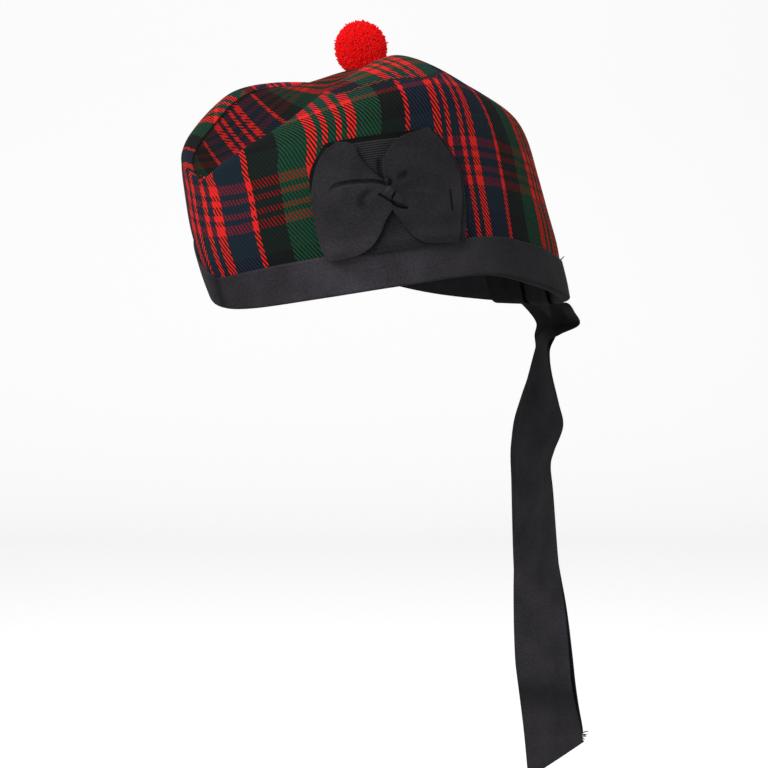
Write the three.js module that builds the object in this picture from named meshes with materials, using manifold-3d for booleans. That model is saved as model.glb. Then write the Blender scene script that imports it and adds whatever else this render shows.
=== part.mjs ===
// Glengarry: a boat-shaped tartan cap in its worn form, with a ribbon band, a cockade,
// a wool toorie and two hanging ribbon tails.
// Millimetres, +Z up. The front faces -Y and the wearer's left is +X.
// The origin is the middle of the head opening, where a head carries the hat.
import * as THREE from 'three';
import { mergeVertices } from 'three/addons/utils/BufferGeometryUtils.js';
import Module from 'manifold-3d';

// Driving dimensions
const GAP = 0.35; // clearance between neighbouring pieces
const SEAM_GAP = 0.8; // clearance along the curved ridge seams
const HAT_TILT = 9; // degrees that the worn hat leans towards its front
const CLOTH = 2; // wall of the wool cloth
const RIBBON = 1; // wall of the ribbon
const BELLY = { bulge: 2.5, sideways: 1.3 }; // how far the side swells, more to the sides than the tips
const TIP_TUCK = { beyond: 60, depth: 2 }; // the seam tucks in at the two ends of the hat
const ROLL_WIDTH = 6; // cloth that rolls over the ridge, down to the seam
const ROLL_DROP = 2;
// The cloth is pared thinner in the roll, most near the tips: climb in knots, thickness, sections from a tip
const ROLL_PARE = { from: 2, to: 2.6, tip: 0.4, middle: 1.6, near: 0.5, far: 2 };
const BAND_OUTSIDE = 17.5; // height of the band outside and inside the rim
const BAND_INSIDE = 14;
const BAND_BACK_SLIT = 3; // opening between the band's two ends at the centre back
const TOORIE = { core: 10, reach: 13.4, y: 1, seat: -0.75 }; // seat: above the crease's highest section
// The locks: root as a share of the core, tip as a share of the width, and how low they grow
const LOCKS = { count: 64, width: 2.4, root: 0.8, tip: 0.55, shorter: 0.5, lowest: -0.62 };
const TAIL_WIDTH = 36;
const TAIL_CUT = { drop: 24, rows: 2 }; // the slanted end: how much lower its far edge is

// One row for each section across the hat, from the front tip to the back tip.
// The rim, the shoulder of the side and the crest of its roll are half widths and places along
// the hat; their heights are given for the left and the right side.
const SECTION_COLUMNS = [
  'rimX', 'rimY', 'rimLeft', 'rimRight',
  'shoulderX', 'shoulderY', 'shoulderLeft', 'shoulderRight',
  'crestX', 'crestY', 'crestLeft', 'crestRight', 'crease',
];
const SECTIONS = namedRows(SECTION_COLUMNS, [
  [0, -97, -2, -2, 0, -101, 50, 50, 0, -100, 58, 58, 57],
  [17, -91.5, -3, 2, 22, -95, 56, 60, 19, -96, 66, 68, 55],
  [45, -73, -1, 10, 45, -75, 70, 72, 34, -75, 78, 79, 59],
  [67, -41, 0, 8, 61, -43, 82, 84, 39, -45, 92, 93, 76],
  [76, 0, -2, 0, 67, -6, 88, 82, 40, -9, 102, 92, 96],
  [72, 34, -13, -12, 61, 27, 74, 74, 36, 25, 86.5, 85, 84],
  [55.5, 64.5, -25, -25, 48, 52, 63, 63, 28, 49, 73.5, 73.5, 70],
  [30, 83.4, -31.5, -31.5, 28, 69.5, 55.5, 55.5, 16, 66.5, 64.5, 64.5, 62],
  [0, 91.2, -33.5, -33.5, 0, 79.5, 53, 53, 0, 76.5, 60.5, 60.5, 59.5],
]);
const HALF_RING = SECTIONS.length - 1; // the right side counts on from the back to the front
const RING_LENGTH = 2 * HALF_RING;

// The cockade lies on the left side: its middle as a section number and a height above the rim
const COCKADE = { section: 3.04, height: 41, sectionPitch: 40.5 };
// The patch under the bow, from its foot up: height over the cockade's middle, reach to front and back
const BASE_ROWS = namedRows(['up', 'front', 'back'], [
  [-25, -32, 29],
  [-20, -35, 31.6],
  [-14, -36.4, 33.6],
  [-6, -37.4, 35],
  [2, -38.2, 36],
  [9, -38.6, 35.6],
  [14, -38, 33.8],
  [18, -35.6, 31.6],
  [21.5, -32.4, 29.2],
  [24, -30.2, 26.8],
  [26, -28.2, 24],
]);
// Outline of the twisted bow, by angle from the back round over the top
const BOW_OUTLINE = namedRows(['angle', 'reach'], [
  [0, 34.5], [27, 35.5], [45, 35], [51, 34], [68, 26.5], [82, 20.5], [100, 14.5], [111, 9], [118, 11],
  [123, 14.5], [130, 25], [135, 37.5], [148, 38], [159, 39.5], [179, 39], [191, 38.5], [202, 40], [210, 42],
  [216, 42], [230, 32.5], [238, 25], [246, 13], [257, 8], [272, 13], [287, 21], [297, 27], [316, 38],
  [333, 34.5], [353, 34.5],
]);
const BOW_THICKNESS = { edge: 1.3, pinch: 4.2 };
const BOW_PLEATS = { count: 9, depth: 0.7, fade: 1.4 };
const KNOT = { length: 15, width: 9, thickness: 4.2, turn: -40, taper: 0.35 };

// The tails: centre line, yaw of the width from +X in degrees and share of the full width
const TAIL_COLUMNS = ['x', 'y', 'z', 'yaw', 'share'];
const TAIL_LEFT = namedRows(TAIL_COLUMNS, [
  [12, 83, -5, -14, 0.58], [12, 86, -15, -14, 0.58], [12, 89, -21.3, -11, 0.56],
  [13, 98, -22.3, -8, 0.52], [13.4, 102, -25.8, 1, 0.5], [11.6, 105.2, -31, 6, 0.56],
  [8.4, 99.7, -35.5, -18, 0.64], [5.4, 96.7, -39.5, -29, 0.75], [3.4, 97.3, -47, -27, 0.88],
  [2, 98, -57, -21, 0.95], [2, 98, -71, -10, 1], [2, 98.5, -82.5, -3, 1], [2, 95, -95, -10, 1],
  [2, 93.5, -102.5, -12, 1], [2, 94.5, -116, -10, 1], [2, 95, -152, -2, 1], [2, 96.5, -177, 6, 1],
  [2, 98, -201, 10, 1], [2, 99.5, -215, 10, 1], [2, 105, -242, 11, 1], [2, 107.5, -258, 10, 1],
]);
const TAIL_RIGHT = namedRows(TAIL_COLUMNS, [
  [-12, 83, -5, 14, 0.58], [-12, 85.5, -15, 14, 0.58], [-12, 89, -21.2, 10, 0.56],
  [-10, 98.8, -22, 0, 0.5], [-8, 105, -25.6, 0, 0.5], [-5.8, 109.5, -32, 0, 0.54],
  [-5.2, 106.4, -38, -12, 0.6], [-4, 104.1, -43.5, -24, 0.7], [-4.4, 104.2, -50, -26, 0.84],
  [-5, 104, -59, -20, 0.94], [-6, 103.5, -71.5, -10, 1], [-9, 104, -83, -3, 1],
  [-9, 100, -95.5, -9, 1], [-9, 99, -103, -11, 1], [-9, 100, -116, -10, 1], [-8, 102.5, -152, -1, 1],
  [-7, 104.5, -177, 6, 1], [-6, 105.5, -201, 11, 1], [-6, 107.5, -215, 11, 1], [-6, 113, -240, 11, 1],
  [-6, 115, -251, 11, 1],
]);
const TAIL_CUP = { depth: 0.6, from: 6, to: 10 }; // shallow cupping across a tail, from row to row

// Colours and finishes seen on the real cap
const tartan = (color) => new THREE.MeshStandardMaterial({ color, roughness: 0.95, metalness: 0 });
const ribbon = () => new THREE.MeshStandardMaterial({ color: 0x2a292d, roughness: 0.6, metalness: 0 });
const wool = () => new THREE.MeshStandardMaterial({ color: 0xd81c1c, roughness: 1, metalness: 0 });

function namedRows(columns, rows) {
  return rows.map((row) => Object.fromEntries(columns.map((name, i) => [name, row[i]])));
}

function mix(a, b, share) {
  return a + (b - a) * share;
}

function range(count, from, to) {
  return Array.from({ length: count + 1 }, (_, i) => mix(from, to, i / count));
}

// Uniform Catmull-Rom value between b and c
function cubic(a, b, c, d, f) {
  const linear = (c - a) * f;
  const square = (2 * a - 5 * b + 4 * c - d) * f * f;
  const cube = (3 * b - a - 3 * c + d) * f * f * f;
  return 0.5 * (2 * b + linear + square + cube);
}

function cubicPoint(a, b, c, d, f) {
  return new THREE.Vector3(
    cubic(a.x, b.x, c.x, d.x, f),
    cubic(a.y, b.y, c.y, d.y, f),
    cubic(a.z, b.z, c.z, d.z, f),
  );
}

// The five points that shape one section: rim, belly, shoulder, crest and seam
function sectionKnots(row, side) {
  const left = side > 0;
  const rim = new THREE.Vector3(side * row.rimX, row.rimY, left ? row.rimLeft : row.rimRight);
  const shoulderZ = left ? row.shoulderLeft : row.shoulderRight;
  const shoulder = new THREE.Vector3(side * row.shoulderX, row.shoulderY, shoulderZ);
  const crest = new THREE.Vector3(side * row.crestX, row.crestY, left ? row.crestLeft : row.crestRight);
  const outward = new THREE.Vector3(rim.x * BELLY.sideways, rim.y, 0).normalize();
  const belly = rim.clone().lerp(shoulder, 0.5).addScaledVector(outward, BELLY.bulge);
  const seamX = side * Math.max(GAP / 2, row.crestX - ROLL_WIDTH);
  const atTip = Math.abs(row.crestY) > TIP_TUCK.beyond;
  const tipShift = atTip ? -TIP_TUCK.depth * Math.sign(row.crestY) : 0;
  const seam = new THREE.Vector3(seamX, crest.y + tipShift, crest.z - ROLL_DROP);
  return [rim, belly, shoulder, crest, seam];
}

const SEAM = 4; // number of the last knot
const SMALL_STEP = 0.02; // for slopes of the side, in knots and sections
const leftKnots = SECTIONS.map((row) => sectionKnots(row, 1));
const rightKnots = SECTIONS.slice(1, -1).reverse().map((row) => sectionKnots(row, -1));
const ringKnots = [...leftKnots, ...rightKnots];

function ringSection(k) {
  const i = Math.floor(k);
  const at = (j) => ringKnots[(((i + j) % RING_LENGTH) + RING_LENGTH) % RING_LENGTH];
  return at(0).map((_, knot) => cubicPoint(at(-1)[knot], at(0)[knot], at(1)[knot], at(2)[knot], k - i));
}

// A point of the hat's outer side: k runs round the hat, t climbs from the rim to the seam
function wallPoint(k, t) {
  const curve = new THREE.CatmullRomCurve3(ringSection(k), false, 'centripetal');
  return curve.getPoint(THREE.MathUtils.clamp(t / SEAM, 0, 1));
}

function wallNormal(k, t) {
  const round = wallPoint(k + SMALL_STEP, t).sub(wallPoint(k - SMALL_STEP, t));
  const up = wallPoint(k, Math.min(t + SMALL_STEP, SEAM)).sub(wallPoint(k, Math.max(t - SMALL_STEP, 0)));
  return round.cross(up).normalize();
}

// Closes a surface and its offset into one thin solid
function closedShell(outer, inner) {
  const rows = outer.length;
  const columns = outer[0].length;
  const positions = [];
  [outer, inner].forEach((grid) => grid.flat().forEach((p) => positions.push(p.x, p.y, p.z)));
  const top = (i, j) => i * columns + j;
  const under = (i, j) => rows * columns + i * columns + j;
  const index = [];
  const quad = (a, b, c, d) => index.push(a, b, c, a, c, d);
  for (let i = 0; i < rows - 1; i += 1) {
    for (let j = 0; j < columns - 1; j += 1) {
      quad(top(i, j), top(i + 1, j), top(i + 1, j + 1), top(i, j + 1));
      quad(under(i, j), under(i, j + 1), under(i + 1, j + 1), under(i + 1, j));
    }
  }
  for (let i = 0; i < rows - 1; i += 1) {
    quad(top(i, 0), under(i, 0), under(i + 1, 0), top(i + 1, 0));
    const last = columns - 1;
    quad(top(i, last), top(i + 1, last), under(i + 1, last), under(i, last));
  }
  for (let j = 0; j < columns - 1; j += 1) {
    quad(top(0, j), top(0, j + 1), under(0, j + 1), under(0, j));
    const last = rows - 1;
    quad(top(last, j), under(last, j), under(last, j + 1), top(last, j + 1));
  }
  return faceOutwards(positions, index);
}

function faceOutwards(positions, index) {
  const corner = (i) => new THREE.Vector3().fromArray(positions, 3 * index[i]);
  let volume = 0;
  for (let i = 0; i < index.length; i += 3) {
    volume += corner(i).dot(corner(i + 1).cross(corner(i + 2)));
  }
  if (volume < 0) {
    index.reverse();
  }
  const geometry = new THREE.BufferGeometry();
  geometry.setAttribute('position', new THREE.Float32BufferAttribute(positions, 3));
  geometry.setIndex(index);
  geometry.computeVertexNormals();
  return geometry;
}

// Side panels: from the centre front to the centre back, rim to seam
const STEPS_PER_SECTION = 4;
const CLIMB = [0, 0.4, 0.8, 1.2, 1.6, 2, 2.3, 2.6, 2.85, 3.05, 3.5, SEAM];

function clothThickness(k, t) {
  const place = k % HALF_RING;
  const fromTip = Math.min(place, HALF_RING - place);
  const towardsMiddle = THREE.MathUtils.smoothstep(fromTip, ROLL_PARE.near, ROLL_PARE.far);
  const inRoll = mix(ROLL_PARE.tip, ROLL_PARE.middle, towardsMiddle);
  return mix(CLOTH, inRoll, THREE.MathUtils.smoothstep(t, ROLL_PARE.from, ROLL_PARE.to));
}

function sidePanel(side) {
  const from = side > 0 ? 0 : HALF_RING;
  const keepSide = (p) => p.setX(side * Math.max(side * p.x, GAP / 2));
  const outer = [];
  const inner = [];
  range(HALF_RING * STEPS_PER_SECTION, from, from + HALF_RING).forEach((k) => {
    const points = CLIMB.map((t) => wallPoint(k, t));
    const behind = CLIMB.map((t, j) => (
      points[j].clone().addScaledVector(wallNormal(k, t), -clothThickness(k, t))
    ));
    outer.push(points.map(keepSide));
    inner.push(behind.map(keepSide));
  });
  return closedShell(outer, inner);
}

// Top insert: across from one seam to the other, creased in front and lifted under the toorie
const INSERT_HALF = 5;
const INSERT_TIPS = { front: 0.5, back: HALF_RING - 0.5, length: 0.75, thickness: 0.7 };
const CREASE_POWER = 1.35;

function creaseHeight(k) {
  const i = Math.min(Math.floor(k), HALF_RING - 1);
  const at = (j) => SECTIONS[THREE.MathUtils.clamp(i + j, 0, HALF_RING)].crease;
  return cubic(at(-1), at(0), at(1), at(2), k - i);
}

function insertRow(k) {
  const left = wallPoint(k, SEAM);
  const right = wallPoint(RING_LENGTH - k, SEAM);
  const middle = new THREE.Vector3(0, (left.y + right.y) / 2, creaseHeight(k));
  const half = (edge) => {
    const reach = edge.distanceTo(middle);
    const end = middle.clone().lerp(edge, (reach - SEAM_GAP) / reach);
    return range(INSERT_HALF, 0, 1).map((share) => {
      const p = middle.clone().lerp(end, share);
      p.z = mix(middle.z, end.z, share ** CREASE_POWER);
      return p;
    });
  };
  return [...half(right).slice(1).reverse(), ...half(left)];
}

// The insert is pared thinner in its two points, where it tucks between the sides
function insertThickness(k) {
  const fromTip = Math.min(k - INSERT_TIPS.front, INSERT_TIPS.back - k);
  return mix(INSERT_TIPS.thickness, CLOTH, THREE.MathUtils.smoothstep(fromTip, 0, INSERT_TIPS.length));
}

function topInsert() {
  const steps = (INSERT_TIPS.back - INSERT_TIPS.front) * STEPS_PER_SECTION;
  const ks = range(steps, INSERT_TIPS.front, INSERT_TIPS.back);
  const outer = ks.map(insertRow);
  const lastRow = outer.length - 1;
  const lastColumn = outer[0].length - 1;
  const inner = outer.map((row, i) => row.map((p, j) => {
    const along = outer[Math.min(i + 1, lastRow)][j].clone().sub(outer[Math.max(i - 1, 0)][j]);
    const across = row[Math.min(j + 1, lastColumn)].clone().sub(row[Math.max(j - 1, 0)]);
    let normal = across.cross(along).normalize();
    if (j === 0) {
      normal = wallNormal(RING_LENGTH - ks[i], SEAM);
    }
    if (j === lastColumn) {
      normal = wallNormal(ks[i], SEAM);
    }
    return p.clone().addScaledVector(normal, -insertThickness(ks[i]));
  }));
  return closedShell(outer, inner);
}

// How far up the side, counted in knots, a height above the rim lies
function climbTo(k, height) {
  const [rim, belly, shoulder] = [0, 1, 2].map((t) => wallPoint(k, t));
  const lower = rim.distanceTo(belly);
  const upper = belly.distanceTo(shoulder);
  return height < lower ? height / lower : 1 + (height - lower) / upper;
}

// A point at a height above the rim and a distance out from the cloth
function bySide(k, height, out) {
  const t = climbTo(k, Math.max(height, 0));
  const p = wallPoint(k, t).addScaledVector(wallNormal(k, t), out);
  if (height < 0) {
    const down = wallPoint(k, 0).sub(wallPoint(k, SMALL_STEP)).normalize();
    p.addScaledVector(down, -height);
  }
  return p;
}

// Band: a ribbon folded over the rim, swept from the back right round the front to the back left
const BAND_STEPS = 52;
const BAND_FOLD_ROUND = 0.4;

function band() {
  const outFace = GAP + RIBBON;
  const inFace = -CLOTH - GAP;
  const foot = -GAP - RIBBON;
  const thirds = [BAND_OUTSIDE, (BAND_OUTSIDE * 2) / 3, BAND_OUTSIDE / 3];
  const halves = [BAND_INSIDE / 2, BAND_INSIDE];
  const profile = [
    ...thirds.map((height) => [height, outFace]), [0, outFace],
    [foot, outFace - BAND_FOLD_ROUND], [foot, inFace - RIBBON + BAND_FOLD_ROUND], [0, inFace - RIBBON],
    ...halves.map((height) => [height, inFace - RIBBON]),
    ...halves.toReversed().map((height) => [height, inFace]),
    [-GAP, inFace], [-GAP, GAP], ...thirds.toReversed().map((height) => [height, GAP]),
  ];
  const slit = BAND_BACK_SLIT / 2 / wallPoint(HALF_RING, 0).distanceTo(wallPoint(HALF_RING - 1, 0));
  const ks = range(BAND_STEPS, HALF_RING + slit, HALF_RING + RING_LENGTH - slit);
  const rings = ks.map((k) => profile.map(([height, out]) => bySide(k, height, out)));
  return sweptSolid(rings);
}

// Joins closed outlines one after the other and caps the first and the last
function sweptSolid(rings) {
  const count = rings[0].length;
  const positions = [];
  rings.flat().forEach((p) => positions.push(p.x, p.y, p.z));
  const index = [];
  for (let i = 0; i < rings.length - 1; i += 1) {
    for (let j = 0; j < count; j += 1) {
      const next = (j + 1) % count;
      const [a, b, c, d] = [i * count + j, (i + 1) * count + j, (i + 1) * count + next, i * count + next];
      index.push(a, c, b, a, d, c);
    }
  }
  [0, rings.length - 1].forEach((i) => {
    const cap = capTriangles(rings[i]);
    cap.forEach(([a, b, c]) => {
      const [x, y, z] = [i * count + a, i * count + b, i * count + c];
      index.push(...(i === 0 ? [x, z, y] : [x, y, z]));
    });
  });
  return faceOutwards(positions, index);
}

// Flattens an outline onto its own plane and triangulates it
function capTriangles(ring) {
  const normal = new THREE.Vector3();
  ring.forEach((p, i) => normal.add(p.clone().cross(ring[(i + 1) % ring.length])));
  normal.normalize();
  const u = ring[1].clone().sub(ring[0]).projectOnPlane(normal).normalize();
  const v = normal.clone().cross(u);
  const flat = ring.map((p) => new THREE.Vector2(p.dot(u), p.dot(v)));
  const sameTurn = ([a, b, c]) => {
    const turn = flat[b].clone().sub(flat[a]).cross(flat[c].clone().sub(flat[a]));
    return turn > 0 ? [a, b, c] : [a, c, b];
  };
  return THREE.ShapeUtils.triangulateShape(flat, []).map(sameTurn);
}

// A point over the cockade's middle: along the rim, up the side and out from the cloth
function onCockade(along, up, out) {
  return bySide(COCKADE.section + along / COCKADE.sectionPitch, COCKADE.height + up, out);
}

// The band stands proud of the cloth at the foot of the cockade, so the patch lies over it
const COCKADE_LIFT = { foot: RIBBON + 3 * GAP, from: BAND_OUTSIDE + 1, to: BAND_OUTSIDE + 8 };

function cockadeLift(up) {
  const foot = COCKADE.height + up;
  return mix(COCKADE_LIFT.foot, GAP, THREE.MathUtils.smoothstep(foot, COCKADE_LIFT.from, COCKADE_LIFT.to));
}

function cockadeBase() {
  const skin = (out) => BASE_ROWS.map(({ up, front, back }) => {
    return range(10, front, back).map((along) => onCockade(along, up, cockadeLift(up) + out));
  });
  return closedShell(skin(RIBBON), skin(0));
}

// Bow: two pleated fans that run out from the pinched twist
const BOW_SPOKES = 48;
const BOW_RINGS = 6;

function bowReach(angle) {
  const count = BOW_OUTLINE.length;
  const turn = ((angle % 360) + 360) % 360;
  let i = count - 1;
  while (BOW_OUTLINE[i].angle > turn) {
    i -= 1;
  }
  const next = BOW_OUTLINE[(i + 1) % count];
  const span = (next.angle - BOW_OUTLINE[i].angle + 360) % 360;
  const share = (turn - BOW_OUTLINE[i].angle) / span;
  return mix(BOW_OUTLINE[i].reach, next.reach, share);
}

function cockadeBow() {
  const foot = RIBBON + 2 * GAP;
  const point = (share, angle, onTop) => {
    const radians = THREE.MathUtils.degToRad(angle);
    const reach = share * bowReach(angle);
    const pleat = Math.cos(BOW_PLEATS.count * radians) * BOW_PLEATS.depth * share * (BOW_PLEATS.fade - share);
    const body = mix(BOW_THICKNESS.pinch, BOW_THICKNESS.edge, Math.sqrt(share));
    const rise = onTop ? body + pleat : 0;
    const up = reach * Math.sin(radians);
    return onCockade(reach * Math.cos(radians), up, cockadeLift(up) + foot + rise);
  };
  const positions = [];
  const index = [];
  const add = (p) => positions.push(p.x, p.y, p.z) / 3 - 1;
  const layers = [true, false].map((onTop) => {
    const hub = add(point(0, 0, onTop));
    const rings = range(BOW_RINGS - 1, 1 / BOW_RINGS, 1).map((share) => {
      const spokes = range(BOW_SPOKES, 0, 360).slice(0, -1);
      return spokes.map((angle) => add(point(share, angle, onTop)));
    });
    return { hub, rings };
  });
  const next = (j) => (j + 1) % BOW_SPOKES;
  layers.forEach(({ hub, rings }, layer) => {
    const face = (a, b, c) => index.push(...(layer === 0 ? [a, b, c] : [a, c, b]));
    rings[0].forEach((a, j) => face(hub, a, rings[0][next(j)]));
    rings.slice(1).forEach((ring, i) => ring.forEach((a, j) => {
      face(rings[i][j], a, ring[next(j)]);
      face(rings[i][j], ring[next(j)], rings[i][next(j)]);
    }));
  });
  const [topRim, underRim] = layers.map(({ rings }) => rings[BOW_RINGS - 1]);
  topRim.forEach((a, j) => {
    index.push(a, underRim[j], underRim[next(j)]);
    index.push(a, underRim[next(j)], topRim[next(j)]);
  });
  return faceOutwards(positions, index);
}

// Knot: the turn of ribbon that holds the twist, a flattened roll over the pinch
function cockadeKnot() {
  const geometry = new THREE.SphereGeometry(0.5, 14, 8);
  const seat = RIBBON + 2 * GAP + BOW_THICKNESS.pinch + GAP;
  const turn = THREE.MathUtils.degToRad(KNOT.turn);
  const position = geometry.attributes.position;
  for (let i = 0; i < position.count; i += 1) {
    const long = position.getX(i) * KNOT.length;
    const wide = position.getY(i) * KNOT.width * (1 - KNOT.taper * (2 * position.getX(i)) ** 2);
    const along = long * Math.cos(turn) - wide * Math.sin(turn);
    const up = long * Math.sin(turn) + wide * Math.cos(turn);
    const out = cockadeLift(up) + seat + (position.getZ(i) + 0.5) * KNOT.thickness;
    const p = onCockade(along, up, out);
    position.setXYZ(i, p.x, p.y, p.z);
  }
  return weld(geometry);
}

function weld(geometry) {
  geometry.deleteAttribute('normal');
  geometry.deleteAttribute('uv');
  const merged = mergeVertices(geometry, 1e-4);
  const index = [];
  const source = Array.from(merged.index.array);
  for (let i = 0; i < source.length; i += 3) {
    const [a, b, c] = source.slice(i, i + 3);
    if (a !== b && b !== c && c !== a) {
      index.push(a, b, c);
    }
  }
  return faceOutwards(Array.from(merged.attributes.position.array), index);
}

// Toorie: wool locks fused to a round head, with none on the side that is sewn down
const wasm = await Module();
wasm.setup();

function solidOf(geometry) {
  const vertProperties = Float32Array.from(geometry.attributes.position.array);
  const triVerts = Uint32Array.from(geometry.index.array);
  return new wasm.Manifold(new wasm.Mesh({ numProp: 3, vertProperties, triVerts }));
}

function toorie() {
  const { core, reach } = TOORIE;
  const goldenTurn = Math.PI * (3 - Math.sqrt(5));
  let body = solidOf(weld(new THREE.IcosahedronGeometry(core, 2)));
  for (let i = 0; i < LOCKS.count; i += 1) {
    const height = 1 - (2 * (i + 0.5)) / LOCKS.count;
    if (height > LOCKS.lowest) {
      const ring = Math.sqrt(1 - height * height);
      const turn = i * goldenTurn;
      const direction = new THREE.Vector3(ring * Math.cos(turn), ring * Math.sin(turn), height);
      const inside = core * LOCKS.root;
      const long = reach - inside - LOCKS.shorter * (i % 3);
      const lock = new THREE.CylinderGeometry(LOCKS.width * LOCKS.tip, LOCKS.width, long, 5, 1);
      lock.translate(0, inside + long / 2, 0);
      lock.applyQuaternion(new THREE.Quaternion().setFromUnitVectors(new THREE.Vector3(0, 1, 0), direction));
      body = body.add(solidOf(weld(lock)));
    }
  }
  const mesh = body.getMesh();
  return faceOutwards(Array.from(mesh.vertProperties), Array.from(mesh.triVerts));
}

// Tails: ribbons that leave the back of the band, fold and hang, cut on the slant
const TAIL_ACROSS = 4;
const TAIL_STEPS_PER_ROW = 2;
const ROW_STEP = 0.1; // for the slope of a tail, in rows

function tail(rows) {
  const last = rows.length - 1;
  const column = (name, s) => {
    const i = Math.min(Math.floor(s), last - 1);
    const at = (j) => rows[THREE.MathUtils.clamp(i + j, 0, last)][name];
    return cubic(at(-1), at(0), at(1), at(2), s - i);
  };
  const midline = (s) => new THREE.Vector3(column('x', s), column('y', s), column('z', s));
  const faces = [1, -1].map((side) => range(last * TAIL_STEPS_PER_ROW, 0, last).map((s) => {
    const yaw = THREE.MathUtils.degToRad(column('yaw', s));
    const width = new THREE.Vector3(Math.cos(yaw), Math.sin(yaw), 0);
    const down = midline(Math.min(s + ROW_STEP, last)).sub(midline(Math.max(s - ROW_STEP, 0))).normalize();
    const normal = width.clone().cross(down).normalize();
    return range(TAIL_ACROSS, -0.5, 0.5).map((across) => {
      const p = midline(s).addScaledVector(width, across * TAIL_WIDTH * column('share', s));
      const grow = THREE.MathUtils.smoothstep(s, TAIL_CUP.from, TAIL_CUP.to);
      const cup = TAIL_CUP.depth * Math.cos(2 * Math.PI * across) * grow;
      p.z += across * TAIL_CUT.drop * THREE.MathUtils.smoothstep(s, last - TAIL_CUT.rows, last);
      return p.addScaledVector(normal, cup + (side * RIBBON) / 2);
    });
  }));
  return closedShell(faces[0], faces[1]);
}

function piece(name, geometry, material) {
  const mesh = new THREE.Mesh(geometry, material);
  mesh.name = name;
  return mesh;
}

// The worn hat leans forward, and the tails hang straight down from it
const hat = new THREE.Group();
hat.rotation.x = THREE.MathUtils.degToRad(HAT_TILT);
hat.add(piece('side_panel_left', sidePanel(1), tartan(0x1d3a2b)));
hat.add(piece('side_panel_right', sidePanel(-1), tartan(0x1a2438)));
hat.add(piece('top_insert', topInsert(), tartan(0x7a1f1f)));
hat.add(piece('band', band(), ribbon()));
hat.add(piece('cockade_base', cockadeBase(), ribbon()));
hat.add(piece('cockade_bow', cockadeBow(), ribbon()));
hat.add(piece('cockade_knot', cockadeKnot(), ribbon()));

const toorieGroup = new THREE.Group();
const toorieSeat = creaseHeight(4) + TOORIE.seat;
toorieGroup.position.set(0, TOORIE.y, toorieSeat + TOORIE.core);
toorieGroup.add(piece('toorie', toorie(), wool()));
hat.add(toorieGroup);

const glengarry = new THREE.Group();
glengarry.add(hat);
glengarry.add(piece('tail_left', tail(TAIL_LEFT), ribbon()));
glengarry.add(piece('tail_right', tail(TAIL_RIGHT), ribbon()));

export default glengarry;
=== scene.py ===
# %% [markdown]
# # A glengarry in wool and ribbon
# A glengarry is a boat-shaped cap. Two tartan sides are sewn to a narrow insert that is creased along the
# top, a black ribbon binds the rim, a twisted ribbon cockade sits on the left side, a red wool toorie sits
# in the crease and two ribbon tails hang at the back. Everything on it is soft, so each solid of the packed
# model is replaced by cloth, ribbon or yarn that lies in the same place. Sizes are written in millimetres
# and turned to metres when a mesh is made.

# %% Set-up
import math

import bpy
import numpy as np
from mathutils import Matrix


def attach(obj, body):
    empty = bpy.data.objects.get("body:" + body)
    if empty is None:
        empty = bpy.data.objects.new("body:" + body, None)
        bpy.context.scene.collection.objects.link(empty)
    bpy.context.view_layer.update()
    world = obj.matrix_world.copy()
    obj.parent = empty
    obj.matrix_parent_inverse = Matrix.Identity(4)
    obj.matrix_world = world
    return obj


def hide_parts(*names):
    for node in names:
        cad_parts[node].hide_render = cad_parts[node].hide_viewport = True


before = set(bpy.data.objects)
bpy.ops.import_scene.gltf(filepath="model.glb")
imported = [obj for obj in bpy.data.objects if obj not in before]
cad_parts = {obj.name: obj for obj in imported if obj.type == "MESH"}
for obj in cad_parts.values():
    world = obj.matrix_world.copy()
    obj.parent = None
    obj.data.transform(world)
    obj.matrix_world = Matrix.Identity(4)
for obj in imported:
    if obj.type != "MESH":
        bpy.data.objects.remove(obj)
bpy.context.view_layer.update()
MM = 0.001

# %% [markdown]
# ## The camera
# The cap is seen from its front left, a little from above and from far off, so that its sides hardly
# converge. The camera could be aimed with a constraint; here its matrix is written from three directions,
# because the same three directions place the lights later.

# %% Camera at the front left
VIEW_TURN = math.radians(53)  # from straight in front towards the wearer's left
VIEW_DOWN = math.radians(4)
VIEW_DISTANCE = 1300
VIEW_SHIFT = (-0.976, -58.05)  # the picture's middle from the origin, to the right and up
FRAME_PIXELS = 768
FOCAL_PIXELS = 2665
SENSOR = 36

to_right = np.array([math.cos(VIEW_TURN), math.sin(VIEW_TURN), 0])
away = np.array([
    -math.sin(VIEW_TURN) * math.cos(VIEW_DOWN),
    math.cos(VIEW_TURN) * math.cos(VIEW_DOWN),
    -math.sin(VIEW_DOWN),
])
upward = np.cross(to_right, away)
eye = VIEW_SHIFT[0] * to_right + VIEW_SHIFT[1] * upward - VIEW_DISTANCE * away


def facing(columns, place):
    matrix = np.eye(4)
    matrix[:3, :3] = np.array(columns).T
    matrix[:3, 3] = np.array(place) * MM
    return Matrix(matrix.tolist())


camera = bpy.data.objects.new("studio_camera", bpy.data.cameras.new("studio_camera"))
bpy.context.collection.objects.link(camera)
camera.data.sensor_width = SENSOR
camera.data.lens = FOCAL_PIXELS / FRAME_PIXELS * SENSOR
camera.matrix_world = facing((to_right, upward, -away), eye)
bpy.context.scene.camera = camera
print("lens", round(camera.data.lens, 1), "mm at", np.round(eye), "mm")

# %% [markdown]
# ## The shape of the sides
# A tailor would draw this cap as sections across it. Each row below gives the rim, the shoulder and the
# crest of one section, from the front tip to the back tip, and a smooth curve runs through them both ways.
# It is the same surface as the solids have, so all the cloth lands where they are.

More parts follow.
